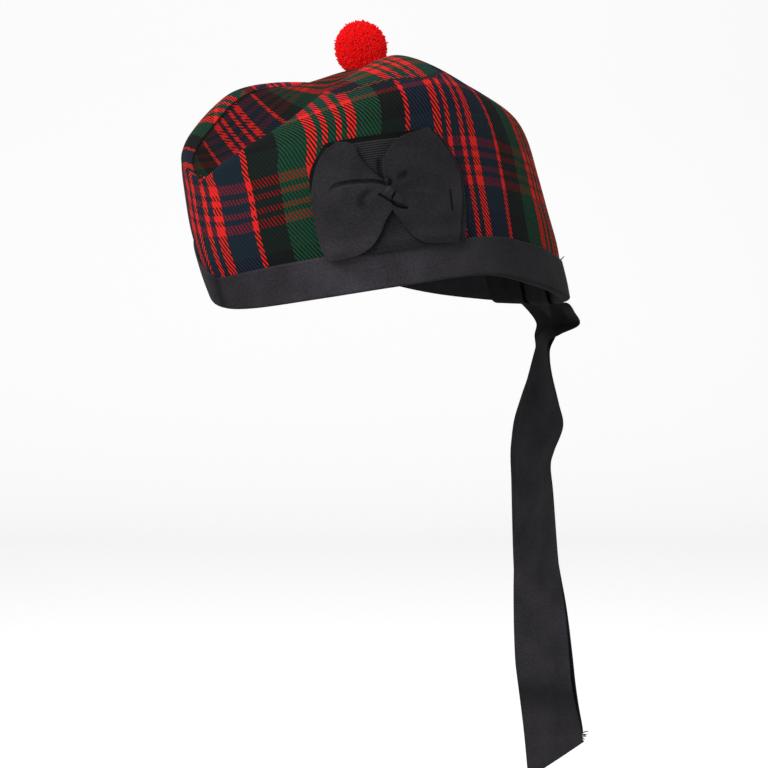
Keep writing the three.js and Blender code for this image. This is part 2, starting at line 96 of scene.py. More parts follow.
# %% Sections of the cap
# rim x, y, left z, right z; shoulder x, y, left z, right z; crest x, y, left z, right z; crease z
SECTIONS = np.array([
    [0, -97, -2, -2, 0, -101, 50, 50, 0, -100, 58, 58, 57],
    [17, -91.5, -3, 2, 22, -95, 56, 60, 19, -96, 66, 68, 55],
    [45, -73, -1, 10, 45, -75, 70, 72, 34, -75, 78, 79, 59],
    [67, -41, 0, 8, 61, -43, 82, 84, 39, -45, 92, 93, 76],
    [76, 0, -2, 0, 67, -6, 88, 82, 40, -9, 102, 92, 96],
    [72, 34, -13, -12, 61, 27, 74, 74, 36, 25, 86.5, 85, 84],
    [55.5, 64.5, -25, -25, 48, 52, 63, 63, 28, 49, 73.5, 73.5, 70],
    [30, 83.4, -31.5, -31.5, 28, 69.5, 55.5, 55.5, 16, 66.5, 64.5, 64.5, 62],
    [0, 91.2, -33.5, -33.5, 0, 79.5, 53, 53, 0, 76.5, 60.5, 60.5, 59.5],
])
HAT_TILT = math.radians(9)
GAP = 0.35
CLOTH = 2
RIBBON = 1
BELLY_BULGE = 2.5
BELLY_SIDEWAYS = 1.3
ROLL_WIDTH = 6
ROLL_DROP = 2
TIP_BEYOND = 60
TIP_TUCK = 2
HALF_RING = len(SECTIONS) - 1
RING = 2 * HALF_RING
CREST, SEAM = 3, 4  # their places in the climb from the rim
SMALL_STEP = 0.02


def section_knots(row, side):
    rim_x, rim_y, rim_l, rim_r, sh_x, sh_y, sh_l, sh_r, top_x, top_y, top_l, top_r, _ = row
    left = side > 0
    rim = np.array([side * rim_x, rim_y, rim_l if left else rim_r])
    shoulder = np.array([side * sh_x, sh_y, sh_l if left else sh_r])
    crest = np.array([side * top_x, top_y, top_l if left else top_r])
    outward = np.array([rim[0] * BELLY_SIDEWAYS, rim[1], 0])
    belly = (rim + shoulder) / 2 + BELLY_BULGE * outward / np.linalg.norm(outward)
    tuck = -TIP_TUCK * np.sign(top_y) if abs(top_y) > TIP_BEYOND else 0
    seam_x = side * max(GAP / 2, top_x - ROLL_WIDTH)
    seam = np.array([seam_x, top_y + tuck, crest[2] - ROLL_DROP])
    return [rim, belly, shoulder, crest, seam]


left_knots = [section_knots(row, 1) for row in SECTIONS]
right_knots = [section_knots(row, -1) for row in SECTIONS[1:-1][::-1]]
ring_knots = np.array(left_knots + right_knots)
print("ring of", len(ring_knots), "sections with", len(ring_knots[0]), "knots each")

# %% [markdown]
# A point of the side is found by its place round the cap, `k`, and its climb from rim to seam, `t`. Both
# can be whole arrays, which keeps a mesh of many thousand points quick.

# %% Points and directions on the sides
def cubic(a, b, c, d, f):
    return 0.5 * (2 * b + (c - a) * f + (2 * a - 5 * b + 4 * c - d) * f**2 + (3 * b - a - 3 * c + d) * f**3)


def knot_spacing(p, q):
    return np.maximum(np.sum((q - p) ** 2, axis=-1, keepdims=True), 1e-6) ** 0.25


def wall(k, t):
    k, t = np.broadcast_arrays(np.asarray(k, float), np.clip(np.asarray(t, float), 0, SEAM))
    i = np.floor(k).astype(int)
    section = cubic(*(ring_knots[(i + j) % RING] for j in (-1, 0, 1, 2)), (k - i)[..., None, None])
    first, last = section[..., :1, :], section[..., -1:, :]
    before, after = 2 * first - section[..., 1:2, :], 2 * last - section[..., -2:-1, :]
    chain = np.concatenate([before, section, after], axis=-2)
    j = np.clip(np.floor(t).astype(int), 0, SEAM - 1)[..., None, None]
    p0, p1, p2, p3 = (np.take_along_axis(chain, j + n, axis=-2)[..., 0, :] for n in range(4))
    d0, d1, d2 = knot_spacing(p0, p1), knot_spacing(p1, p2), knot_spacing(p2, p3)
    m1 = ((p1 - p0) / d0 - (p2 - p0) / (d0 + d1) + (p2 - p1) / d1) * d1
    m2 = ((p2 - p1) / d1 - (p3 - p1) / (d1 + d2) + (p3 - p2) / d2) * d1
    w = t[..., None] - j[..., 0]
    return p1 + m1 * w + (3 * (p2 - p1) - 2 * m1 - m2) * w**2 + (2 * (p1 - p2) + m1 + m2) * w**3


def unit(v):
    return v / np.maximum(np.linalg.norm(v, axis=-1, keepdims=True), 1e-9)


def joined(*parts):
    """Points from their coordinates, given one by one."""
    return np.stack(np.broadcast_arrays(*parts), axis=-1)


def wall_up(k, t):
    return unit(wall(k, np.minimum(t + SMALL_STEP, SEAM)) - wall(k, np.maximum(t - SMALL_STEP, 0)))


def wall_out(k, t):
    return unit(np.cross(wall(k + SMALL_STEP, t) - wall(k - SMALL_STEP, t), wall_up(k, t)))


def on_side(k, height, out):
    """A point at a height above the rim and a distance out from the cloth."""
    k, height, out = np.broadcast_arrays(*(np.asarray(x, float) for x in (k, height, out)))
    lower = np.linalg.norm(wall(k, 1) - wall(k, 0), axis=-1)
    upper = np.linalg.norm(wall(k, 2) - wall(k, 1), axis=-1)
    high = np.maximum(height, 0)
    t = np.where(high < lower, high / lower, 1 + (high - lower) / upper)
    below = np.minimum(height, 0)[..., None]
    return wall(k, t) + out[..., None] * wall_out(k, t) + below * wall_up(k, 0 * t)


def tilt(points):
    """The cap leans forward on the head, so its points turn about the X axis."""
    x, y, z = np.moveaxis(points, -1, 0)
    c, s = math.cos(HAT_TILT), math.sin(HAT_TILT)
    return joined(x, y * c - z * s, y * s + z * c)


def smoothstep(x, low, high):
    share = np.clip((x - low) / (high - low), 0, 1)
    return share * share * (3 - 2 * share)


print("crest of the left side at", np.round(tilt(wall(HALF_RING / 2, CREST)), 1))

# %% [markdown]
# ## Laying cloth
# Every sheet here starts as Blender's grid, whose points are then moved to their places, with its UV map
# holding the thread count: how far each point lies along and across the threads. One UV unit is 100 mm.
# Solidify gives the cloth its wall, thinner where a vertex group says so.

# %% Helpers for sheets
THREAD_UNIT = 100
INWARD, BOTH_WAYS = -1, 0  # where the wall stands, seen from the sheet


def lay_cloth(name, points, threads):
    rows, columns = points.shape[:2]
    bpy.ops.object.select_all(action="DESELECT")
    bpy.ops.mesh.primitive_grid_add(x_subdivisions=columns - 1, y_subdivisions=rows - 1, size=1)
    cloth = bpy.context.object
    cloth.name = cloth.data.name = name
    cloth.data.vertices.foreach_set("co", (points * MM).ravel())
    corners = np.empty(len(cloth.data.loops), dtype=np.int32)
    cloth.data.loops.foreach_get("vertex_index", corners)
    cloth.data.uv_layers[0].name = "threads"
    thread_map = (threads / THREAD_UNIT).reshape(-1, 2)[corners]
    cloth.data.uv_layers[0].data.foreach_set("uv", thread_map.ravel())
    cloth.data.update()
    bpy.ops.object.shade_smooth()
    return cloth


def note(piece, name, values):
    """Keeps one number for each point, which a material can read back by its name."""
    kept = piece.data.attributes.new(name, "FLOAT", "POINT")
    kept.data.foreach_set("value", np.ravel(values).astype(np.float32))


def make_up(cloth, finish, wall_mm, side, share=None):
    """Gives a sheet its wall and its finish."""
    solid = cloth.modifiers.new("wall", "SOLIDIFY")
    solid.thickness = wall_mm * MM
    solid.offset = side
    if share is not None:
        group = cloth.vertex_groups.new(name="wall_share")
        for index, weight in enumerate(share.ravel()):
            group.add([index], float(weight), "REPLACE")
        solid.vertex_group = group.name
    bpy.context.view_layer.objects.active = cloth
    bpy.ops.object.modifier_apply(modifier=solid.name)
    cloth.data.materials.append(finish)
    print(cloth.name, len(cloth.data.polygons), "faces")
    return cloth


print("helpers for sheets ready")

# %% Helpers for lines and folds
LINE_MARKS = 160


def lengths_along(points, axis):
    steps = np.linalg.norm(np.diff(points, axis=axis), axis=-1)
    start = np.zeros_like(np.take(steps, [0], axis=axis))
    return np.concatenate([start, np.cumsum(steps, axis=axis)], axis=axis)


def along_rows(rows, place):
    """Values between the rows of a table, on a smooth curve through them."""
    i = np.minimum(place.astype(int), len(rows) - 2)
    around = (rows[np.clip(i + j, 0, len(rows) - 1)] for j in (-1, 0, 1, 2))
    return cubic(*around, (place - i)[:, None])


def smooth_run(points, count):
    """Points along a smooth line through the given ones, which runs on straight at both ends."""
    points = np.array(points, float)
    chain = np.concatenate([[2 * points[0] - points[1]], points, [2 * points[-1] - points[-2]]])
    return along_rows(chain, np.linspace(1, len(points), count))


def hump(distance, width):
    return np.exp(-((distance / width) ** 2))


def near_line(along, up, line):
    """The distance from points to a smooth line, and how far along the line its nearest place lies."""
    marks = smooth_run(line, LINE_MARKS)
    gaps = np.hypot(along[..., None] - marks[:, 0], up[..., None] - marks[:, 1])
    return gaps.min(axis=-1), gaps.argmin(axis=-1) / (LINE_MARKS - 1)


print("helpers for lines and folds ready")

# %% [markdown]
# ## Tartan wool
# The cloth is a wool twill. Its coloured warp threads float over the weft along slanting ribs, so warp
# lines show strongly and weft lines only as short dashes between the ribs. The colours repeat in a sett
# that is mirrored at both ends, which a ping-pong of the thread count folds back onto one ramp. Warp and
# weft each read that ramp, and a mask for the twill picks which of the two is on top.

# %% Colours and the node helper
def srgb(code):
    parts = [int(code[i:i + 2], 16) / 255 for i in (1, 3, 5)]
    return [c / 12.92 if c <= 0.04045 else ((c + 0.055) / 1.055) ** 2.4 for c in parts] + [1]


def set_sockets(tree, node, inputs):
    """Sets a node's inputs; one that is given another node or its socket is linked."""
    for socket, value in inputs.items():
        if isinstance(value, bpy.types.Node):
            value = value.outputs[0]
        if isinstance(value, bpy.types.NodeSocket):
            tree.links.new(value, node.inputs[socket])
        else:
            node.inputs[socket].default_value = value


def add_node(tree, kind, inputs=None, **settings):
    """Adds one node with its settings and links."""
    node = tree.nodes.new("ShaderNode" + kind)
    for name, value in settings.items():
        setattr(node, name, value)
    set_sockets(tree, node, inputs or {})
    return node


def new_material(name):
    material = bpy.data.materials.new(name)
    material.use_nodes = True
    return material, material.node_tree, material.node_tree.nodes["Principled BSDF"]


def threads_in_mm(tree):
    threads = add_node(tree, "UVMap", uv_map="threads")
    return add_node(tree, "VectorMath", {0: threads, "Scale": THREAD_UNIT}, operation="SCALE")


print("middle grey is", round(srgb("#808080")[0], 3), "in linear light")

# %% Dyes and sett
WARP_DYES = {"navy": "#1f2a3e", "red": "#f42a26", "black": "#1b1c1d", "green": "#1c4a33"}
# the weft threads are duller, and deep between the ribs only the paler ones show
WEFT_DYES = {"navy": "#212b3c", "red": "#f42a26", "black": "#1f2021", "green": "#20362d"}
HALF_SETT = 65.5
SETT = [
    (0, "navy"), (2.35, "red"), (5.05, "navy"), (7.7, "red"), (12.1, "navy"), (25.65, "red"),
    (28.35, "black"), (41.5, "green"), (53.8, "red"), (58.2, "green"), (60.65, "red"), (63.35, "green"),
]


def colour_by_sett(tree, thread, dyes):
    folded = add_node(tree, "Math", {0: thread, 1: HALF_SETT}, operation="PINGPONG")
    share = add_node(tree, "Math", {0: folded, 1: HALF_SETT}, operation="DIVIDE")
    ramp = add_node(tree, "ValToRGB", {0: share})
    ramp.color_ramp.interpolation = "CONSTANT"
    stops = ramp.color_ramp.elements
    stops.remove(stops[1])
    for place, colour in SETT:
        stop = stops.new(place / HALF_SETT) if place else stops[0]
        stop.color = srgb(dyes[colour])
    return ramp


print("tartan sett of", 2 * HALF_SETT, "mm with", len(SETT), "bands in half of it")

# %% Threads of the twill
TWILL_ACROSS = 1.85
TWILL_UP = 2.7
WARP_SHARE = 0.6
RED_THINNER = {"warp": 0.05, "weft": 0.1}  # red threads are finer, so they show less of a rib
WOBBLE_PER_MM = 0.35
THREAD_DRIFT = 0.5  # how far in mm the threads stray, and the ribs by a share of their pitch
RIB_DRIFT = 0.3
tartan, tree, wool_shader = new_material("wool_twill_tartan")
in_mm = threads_in_mm(tree)
wobble = add_node(tree, "TexNoise", {"Vector": in_mm, "Scale": WOBBLE_PER_MM, "Detail": 1.0})
centred = add_node(tree, "VectorMath", {0: wobble.outputs["Color"], 1: (0.5, 0.5, 0.5)}, operation="SUBTRACT")
drift = add_node(tree, "VectorMath", {0: centred, "Scale": THREAD_DRIFT}, operation="SCALE")
loose = add_node(tree, "VectorMath", {0: in_mm, 1: drift}, operation="ADD")
count = add_node(tree, "SeparateXYZ", {0: loose})
warp = colour_by_sett(tree, count.outputs["X"], WARP_DYES)
weft_count = add_node(tree, "Math", {0: count.outputs["Y"], 1: HALF_SETT}, operation="ADD")
weft = colour_by_sett(tree, weft_count, WEFT_DYES)
twill = add_node(tree, "Attribute", attribute_name="twill").outputs["Fac"]
rib = add_node(tree, "Math", {0: wobble, 1: RIB_DRIFT, 2: twill}, operation="MULTIPLY_ADD")
rib_phase = add_node(tree, "Math", {0: rib}, operation="FRACT")
warp_red, weft_red = (add_node(tree, "SeparateColor", {0: colour}) for colour in (warp, weft))
under_red = add_node(
    tree, "Math", {0: weft_red, 1: RED_THINNER["weft"], 2: WARP_SHARE}, operation="MULTIPLY_ADD")
warp_share = add_node(
    tree, "Math", {0: warp_red, 1: -RED_THINNER["warp"], 2: under_red}, operation="MULTIPLY_ADD")
warp_on_top = add_node(tree, "Math", {0: rib_phase, 1: warp_share}, operation="LESS_THAN")
woven = add_node(tree, "Mix", {"Factor": warp_on_top, 6: weft, 7: warp}, data_type="RGBA")
print("a rib every", round(1 / math.hypot(1 / TWILL_ACROSS, 1 / TWILL_UP), 2), "mm")

# %% Painted light and shade on the ribs
RIB_CREST = 1.1  # how bright a rib's middle is
CROSSING_LIFT = 0.6  # between the ribs it is brighter where two red threads cross
PLAIN_LIFT = 0.25  # and where no red thread runs, so that the ribs stand out less there
SEAM_DARK = 0.2  # hardly any light reaches into a seam
RIB_DEPTH = 0.35
FUZZ_PER_MM = 2.2
FUZZ_TONES = (0.78, 1.15)
# the ribs' relief is painted into the colour: a painted highlight along each rib's middle and painted shade
# in the gaps
rib_turn = add_node(
    tree, "Math", {0: rib, 1: 2 * math.pi, 2: -math.pi * WARP_SHARE}, operation="MULTIPLY_ADD")
rib_height = add_node(tree, "Math", {0: rib_turn}, operation="COSINE")
weft_show = add_node(tree, "Attribute", attribute_name="weft_show").outputs["Fac"]
crossing = add_node(tree, "Math", {0: warp_red, 1: weft_red}, operation="MULTIPLY")
gap_shade = add_node(tree, "Math", {0: crossing, 1: CROSSING_LIFT, 2: weft_show}, operation="MULTIPLY_ADD")
any_red = add_node(tree, "Math", {0: warp_red, 1: weft_red}, operation="ADD")
plain_lift = add_node(tree, "MapRange", {0: any_red, 2: 0.5, 3: PLAIN_LIFT, 4: 0.0})
rib_foot = add_node(tree, "Math", {0: gap_shade, 1: plain_lift}, operation="ADD")
rib_shade = add_node(tree, "MapRange", {0: rib_height, 1: -1.0, 2: 1.0, 3: rib_foot, 4: RIB_CREST})
fuzz = add_node(tree, "TexNoise", {"Vector": in_mm, "Scale": FUZZ_PER_MM, "Detail": 3.0})
shade = add_node(tree, "MapRange", {0: fuzz, 1: 0.3, 2: 0.7, 3: FUZZ_TONES[0], 4: FUZZ_TONES[1]})
both_shades = add_node(tree, "Math", {0: shade, 1: rib_shade}, operation="MULTIPLY")
in_seam = add_node(tree, "Attribute", attribute_name="seam_shade").outputs["Fac"]
seam_tone = add_node(tree, "MapRange", {0: in_seam, 3: 1.0, 4: SEAM_DARK})
all_shades = add_node(tree, "Math", {0: both_shades, 1: seam_tone}, operation="MULTIPLY")
painted_lighting = add_node(
    tree, "Mix", {"Factor": 1.0, 6: woven.outputs[2], 7: all_shades}, data_type="RGBA", blend_type="MULTIPLY")
relief = add_node(tree, "Math", {0: rib_height, 1: fuzz}, operation="ADD")
bump = add_node(tree, "Bump", {"Strength": 0.5, "Distance": RIB_DEPTH * MM, "Height": relief})
set_sockets(tree, wool_shader, {
    "Base Color": painted_lighting.outputs[2], "Normal": bump, "Roughness": 0.9, "Specular IOR Level": 0.06,
    "Sheen Weight": 0.025, "Sheen Roughness": 0.6,
})
print(tartan.name, "with", len(tree.nodes), "nodes")

# %% [markdown]
# ## The two sides
# Each side is one piece of tartan from the centre front to the centre back, from the rim up over the
# rolled ridge. A cloth simulation would need the stiff lining that holds the real shape, so the cloth is
# laid straight onto the section surface, with a little unevenness, and its last rows turn down into the
# seam. The threads lean where the maker pulled the cloth round the ends, which the tables give as a lean
# for places along the side, below and above the line where the warp was set out. Beside the toorie the
# left roll shows another cut of the cloth, so above a seam line there the warp is counted afresh.

# %% Thread count on a side
SET_OUT_HEIGHT = 62
WEFT_CENTRE = 47
WEFT_CLIMB = 0.06
WEFT_FROM = 30
# along the side from the centre front; lean below and above the set-out line
LEAN_LEFT = np.array([
    [0, -0.18, 0.25], [30, -0.14, 0.27], [45, -0.08, 0.33], [60, -0.1, 0.28], [75, -0.06, 0.29],
    [100, 0.02, 0.3], [120, 0.05, 0.15], [140, 0.05, 0.08], [160, 0.1, 0.02], [200, 0.05, 0], [270, 0, 0],
])
LEAN_RIGHT = np.array([
    [0, 0.18, 0.05], [30, 0.12, 0.07], [45, 0.05, 0.15], [75, 0, 0.3], [95, 0, 0.1],
    [106, 0, -0.15], [125, 0, -0.3], [160, 0, 0], [270, 0, 0],
])
FRONT_EASE = 0.135
FRONT_EASE_TO = 60
WARP_START = 4.2
# the lower edge of the roll's other cut: distance along the side, height
ROLL_EDGE = np.array([
    [82, 125], [88, 98], [94, 96], [99, 97.4], [110, 97.6], [118, 96], [128, 93.8], [135, 95], [145, 100],
    [160, 109], [175, 125],
])
ROLL_GREEN_AT, ROLL_EASE = 121.3, 1.15


def above_roll_edge(along, height):
    return height - np.interp(along, *ROLL_EDGE.T)


def side_threads(along, height, left):
    lean = LEAN_LEFT if left else LEAN_RIGHT
    below, above = (np.interp(along, lean[:, 0], lean[:, n]) for n in (1, 2))
    over = height - SET_OUT_HEIGHT
    at_set_out = along - np.where(over < 0, below, above) * over
    warp_count = at_set_out - WARP_START
    weft_count = height - WEFT_CENTRE - WEFT_CLIMB * (along - WEFT_FROM)
    if not left:
        return joined(-warp_count, weft_count)
    warp_count = warp_count + FRONT_EASE * np.maximum(0, FRONT_EASE_TO - at_set_out)
    on_roll = HALF_SETT + (along - ROLL_GREEN_AT) * ROLL_EASE
    return joined(np.where(above_roll_edge(along, height) > 0, on_roll, warp_count), weft_count)


print("the roll's other cut lies", ROLL_EDGE[0, 0], "to", ROLL_EDGE[-1, 0], "mm from the front")

# %% Sides of tartan
SIDE_COLUMNS = 177
CLIMB = np.concatenate([
    np.linspace(0, 2, 36), np.linspace(2, CREST, 24)[1:], np.linspace(CREST, SEAM, 18)[1:],
])
CREST_ROW = int(np.argmin(abs(CLIMB - CREST)))
# the cloth's turn into the seam: on along the cloth and down into it
SEAM_TURN = np.array([[0.18, 0.06], [0.32, 0.25], [0.38, 0.7], [0.4, 1.4], [0.4, 2.2]])
SEAM_REACH = (0.2, 0.9)  # from full shade to none
SEAM_BUTT = 0.02  # the two sides meet in the middle at the front and at the back
ROLL_SEAM = {"dark": 0.5, "width": 0.8}
TURN_WALL = 0.25
PANEL_WALL = 1.7
UNEVEN = 0.35
EVEN_BELOW, EVEN_AT_SEAM = (15, 30), 0.8  # the cloth lies even behind the band and near the seam
TWILL_EASE = 0.6  # the cloth is stretched over the ridge
# how much the weft shows between the ribs, for distances along the left side and on the whole right side;
# lower values also deepen the painted shade between the ribs, so those parts come out darker
WEFT_SHOW_LEFT = np.array([[0, 0.32], [60, 0.32], [105, 0.2], [150, 0.17], [190, 0.1]])
WEFT_SHOW_RIGHT = 0.3
CREST_WEFT = {"more": 0.5, "below": 9, "along": 135, "reach": 40}  # on top of the roll beside the toorie, where it lessens the painted shade between the ribs


def uneven(along, height):
    """Two waves whose lengths have no common measure."""
    slow = np.sin(along / 17 + 1.3) * np.sin(height / 13 + 0.4)
    quick = 0.5 * np.sin(along / 8.3 + height / 10.1) * np.sin(height / 7.7 - along / 21)
    return slow + quick


def near_seam(distance):
    return 1 - smoothstep(distance, *SEAM_REACH)


def tartan_side(name, left):
    start = 0 if left else HALF_RING
    k, t = np.meshgrid(np.linspace(start, start + HALF_RING, SIDE_COLUMNS), CLIMB)
    points, out = wall(k, t), wall_out(k, t)
    belly = wall(k[0], 1)
    along = lengths_along(belly, 0) if left else lengths_along(belly[::-1], 0)[::-1]
    height = lengths_along(points, 0)
    calm = smoothstep(height, *EVEN_BELOW) * smoothstep(SEAM - t, 0, EVEN_AT_SEAM)
    points = points + (UNEVEN * uneven(along, height) * calm)[..., None] * out
    edge, edge_out, edge_on = points[-1], out[-1], wall_up(k[-1], t[-1])
    turned = np.array([edge + on * edge_on - down * edge_out for on, down in SEAM_TURN])
    points = np.concatenate([points, turned])
    height = lengths_along(points, 0)
    along = np.broadcast_to(along, height.shape)
    sign = 1 if left else -1
    points[..., 0] = sign * np.maximum(sign * points[..., 0], SEAM_BUTT)
    side = lay_cloth(name, tilt(points), side_threads(along, height, left))
    shows = np.full(along.shape, WEFT_SHOW_RIGHT)
    in_seam = near_seam(height[len(CLIMB) - 1] - height)
    if left:
        on_top = smoothstep(height - height[CREST_ROW], -CREST_WEFT["below"], 0)
        beside = hump(along - CREST_WEFT["along"], CREST_WEFT["reach"])
        shows = np.interp(along, *WEFT_SHOW_LEFT.T) + CREST_WEFT["more"] * on_top * beside
        seam_line = hump(above_roll_edge(along, height), ROLL_SEAM["width"])
        in_seam = np.maximum(in_seam, ROLL_SEAM["dark"] * seam_line)
    note(side, "weft_show", shows)
    eased = np.minimum(height, SET_OUT_HEIGHT) + TWILL_EASE * np.maximum(height - SET_OUT_HEIGHT, 0)
    note(side, "twill", along / TWILL_ACROSS + eased / TWILL_UP)
    note(side, "seam_shade", in_seam)
    share = np.ones(height.shape)
    share[-len(SEAM_TURN):] = TURN_WALL
    print(name, "is", round(float(along.max())), "mm long along the belly")
    return make_up(side, tartan, PANEL_WALL, INWARD, share)


wool_left = tartan_side("wool_side_left", True)
wool_right = tartan_side("wool_side_right", False)

# %% [markdown]
# ## The top insert
# Between the two rolled edges lies a boat-shaped piece of the same tartan, pressed into a crease. Its
# warp runs across the cap. It is laid row by row from one seam to the other, and both its edges turn down
# into the seams too.

# %% Insert of tartan
INSERT_FROM, INSERT_TO = 0.5, HALF_RING - 0.5
INSERT_ROWS = 150
INSERT_HALF = 26
CREASE_POWER = 1.35
SEAM_GAP = 0.8
INSERT_WALL = 1.5
TIP_WALL, TIP_REACH = 0.4, 0.8  # its wall gets thinner towards both tips
INSERT_NAVY_AT = -64  # where along the cap the warp's navy centre lies
INSERT_EASE = 1.5
INSERT_LEAN = 0.1
INSERT_WEFT_AT = 22.5  # the weft's green centre, from the crease towards the right
INSERT_SHADE = 0.56  # little light comes down into the crease
WEFT_SHOW_INSERT = 0.12


def insert_half(k, edge, other):
    crease = along_rows(SECTIONS[:, -1:], k)[:, 0]
    middle = joined(0, (edge[:, 1] + other[:, 1]) / 2, crease)
    reach = np.linalg.norm(edge - middle, axis=-1)[:, None]
    end = middle + (edge - middle) * (reach - SEAM_GAP) / reach
    share = np.linspace(0, 1, INSERT_HALF)[None, :, None]
    half = middle[:, None] + (end - middle)[:, None] * share
    half[..., 2] = middle[:, None, 2] + (end - middle)[:, None, 2] * share[..., 0] ** CREASE_POWER
    ahead = unit(half[:, -1] - half[:, -2])
    turned = [half[:, -1] + SEAM_GAP * on * ahead - [0, 0, down] for on, down in SEAM_TURN]
    return np.concatenate([half, np.stack(turned, axis=1)], axis=1)


def tartan_insert(name):
    k = np.linspace(INSERT_FROM, INSERT_TO, INSERT_ROWS)
    left_edge, right_edge = wall(k, SEAM), wall(RING - k, SEAM)
    leftward, rightward = insert_half(k, left_edge, right_edge), insert_half(k, right_edge, left_edge)
    points = np.concatenate([leftward[:, ::-1], rightward[:, 1:]], axis=1)
    to_left, to_other = lengths_along(leftward, 1), lengths_along(rightward, 1)
    across = np.concatenate([-to_left[:, ::-1], to_other[:, 1:]], axis=1)
    warp_count = INSERT_EASE * (points[..., 1] - INSERT_NAVY_AT) - INSERT_LEAN * across
    threads_here = joined(warp_count, across - INSERT_WEFT_AT)
    turns = len(SEAM_TURN)
    share = np.ones(across.shape)
    share[:, :turns] = share[:, -turns:] = TURN_WALL
    tips = np.minimum(k - INSERT_FROM, INSERT_TO - k)
    share = share * (TIP_WALL + (1 - TIP_WALL) * smoothstep(tips, 0, TIP_REACH))[:, None]
    insert = lay_cloth(name, np.swapaxes(tilt(points), 0, 1), np.swapaxes(threads_here, 0, 1))
    note(insert, "weft_show", np.full(across.shape, WEFT_SHOW_INSERT))
    note(insert, "twill", (points[..., 1] / TWILL_ACROSS + across / TWILL_UP).T)
    reach = np.where(across < 0, -across[:, [turns]], across[:, [-1 - turns]])
    note(insert, "seam_shade", np.maximum(near_seam(reach - np.abs(across)), INSERT_SHADE).T)
    return make_up(insert, tartan, INSERT_WALL, INWARD, share.T)


wool_insert = tartan_insert("wool_top_insert")

# %% [markdown]
# ## Black ribbon
# Band, cockade and tails are a fine ribbed ribbon. Its ribs are about half a millimetre apart, too fine
# for the picture, so they are drawn at 0.9 mm. They run across the ribbon and catch a soft sheen, with
# painted shade in their grooves and a painted highlight on their crests. Each piece notes painted shade as
# a number from 0 to 1, which darkens its folds and the parts that get little light, and painted light as a
# number below 0, which makes parts paler.

# %% Ribbon material
RIBBON_BASE = srgb("#2d2b2f")
RIB_PITCH = 0.9
# painted shade in each rib's groove and a painted highlight on its crest
RIB_TONES = (0.85, 1.1)
MOTTLE_PER_MM = {"fine": 0.9, "broad": 0.06}
MOTTLE_TONES = (0.62, 1.38)
PAINTED_SHADE_DARK = 0.13  # the darkest painted shade, as in a tight fold that takes in most of the light
RIBBON_RELIEF = 0.15
ribbon, tree, ribbon_shader = new_material("ribbed_black_ribbon")
in_mm = threads_in_mm(tree)
count = add_node(tree, "SeparateXYZ", {0: in_mm})
ribs = add_node(tree, "Math", {0: count.outputs["X"], 1: RIB_PITCH / 2}, operation="PINGPONG")
rib_share = add_node(tree, "Math", {0: ribs, 1: RIB_PITCH / 2}, operation="DIVIDE")
fine = add_node(tree, "TexNoise", {"Vector": in_mm, "Scale": MOTTLE_PER_MM["fine"], "Detail": 3.0})
broad = add_node(tree, "TexNoise", {"Vector": in_mm, "Scale": MOTTLE_PER_MM["broad"], "Detail": 2.0})
mottle = add_node(tree, "Math", {0: fine, 1: broad}, operation="ADD")
tone = add_node(tree, "MapRange", {0: mottle, 1: 0.7, 2: 1.3, 3: MOTTLE_TONES[0], 4: MOTTLE_TONES[1]})
rib_tone = add_node(tree, "MapRange", {0: rib_share, 3: RIB_TONES[0], 4: RIB_TONES[1]})
both = add_node(tree, "Math", {0: tone, 1: rib_tone}, operation="MULTIPLY")
# each piece's painted light and shade: above 0 darker, below 0 paler
painted_here = add_node(tree, "Attribute", attribute_name="painted_light_and_shade").outputs["Fac"]
painted_tone = add_node(tree, "MapRange", {0: painted_here, 3: 1.0, 4: PAINTED_SHADE_DARK}, clamp=False)
shaded = add_node(tree, "Math", {0: both, 1: painted_tone}, operation="MULTIPLY")
dyed_and_painted = add_node(
    tree, "Mix", {"Factor": 1.0, 6: RIBBON_BASE, 7: shaded}, data_type="RGBA", blend_type="MULTIPLY")
relief = add_node(tree, "Math", {0: rib_share, 1: fine}, operation="ADD")
bump = add_node(tree, "Bump", {"Strength": 0.35, "Distance": RIBBON_RELIEF * MM, "Height": relief})
set_sockets(tree, ribbon_shader, {
    "Base Color": dyed_and_painted.outputs[2], "Normal": bump, "Roughness": 0.75, "Specular IOR Level": 0.15,
    "Sheen Weight": 0.02, "Sheen Roughness": 0.4,
})
print("ribbon ribs every", RIB_PITCH, "mm")

# %% [markdown]
# ## The band
# One length of ribbon is folded over the rim, from the back right round the front to the back left, where
# its two ends leave a narrow slit. The sheet is laid from its inner edge down, round the fold and up the
# outside.

# %% Band over the rim
BAND_OUTSIDE = 17.5
BAND_INSIDE = 14
BAND_BACK_SLIT = 0.2
BAND_COLUMNS = 420
BAND_WALL = 0.9
RIM_FOLD = 0.85  # how far the fold hangs below the rim
EDGE_WAVE, EDGE_WAVE_LENGTH, EDGE_TUCK, EDGE_FROM = 0.15, 9, 0.2, 4
BAND_SWELL, BAND_SWELL_LENGTH = 0.25, 19
# section, counted from the centre front, and height of the band's top edge over the rim there
BAND_TOP = np.array([
    [-8, 17.5], [-1, 18.5], [-0.6, 18.8], [-0.25, 17.5], [0.1, 14.2], [0.5, 15.2], [1, 16.8], [1.5, 17.8],
    [2.2, 18.3], [3.5, 16.7], [4, 17], [4.5, 18.6], [5.2, 19.3], [6, 18], [8, 17.5],
])
# painted shade in a narrow line where the band turns round the front tip
FRONT_TURN_SHADE = {"section": 0.16, "width": 0.14, "dark": 0.6}
BAND_PAINTED_LIGHT = {"section": 2.6, "reach": 1.2, "paler": 1.0}  # painted light: the band's left side is paler
TIP_PAINTED_LIGHT = {"begins": (0, 0.4), "ends": (1, 2), "paler": 0.7}  # and painted light on the front tip's right side, which faces the light
BACK_DARK = {"begins": (3.4, 4.6), "dark": 0.35}  # the back hardly sees the light


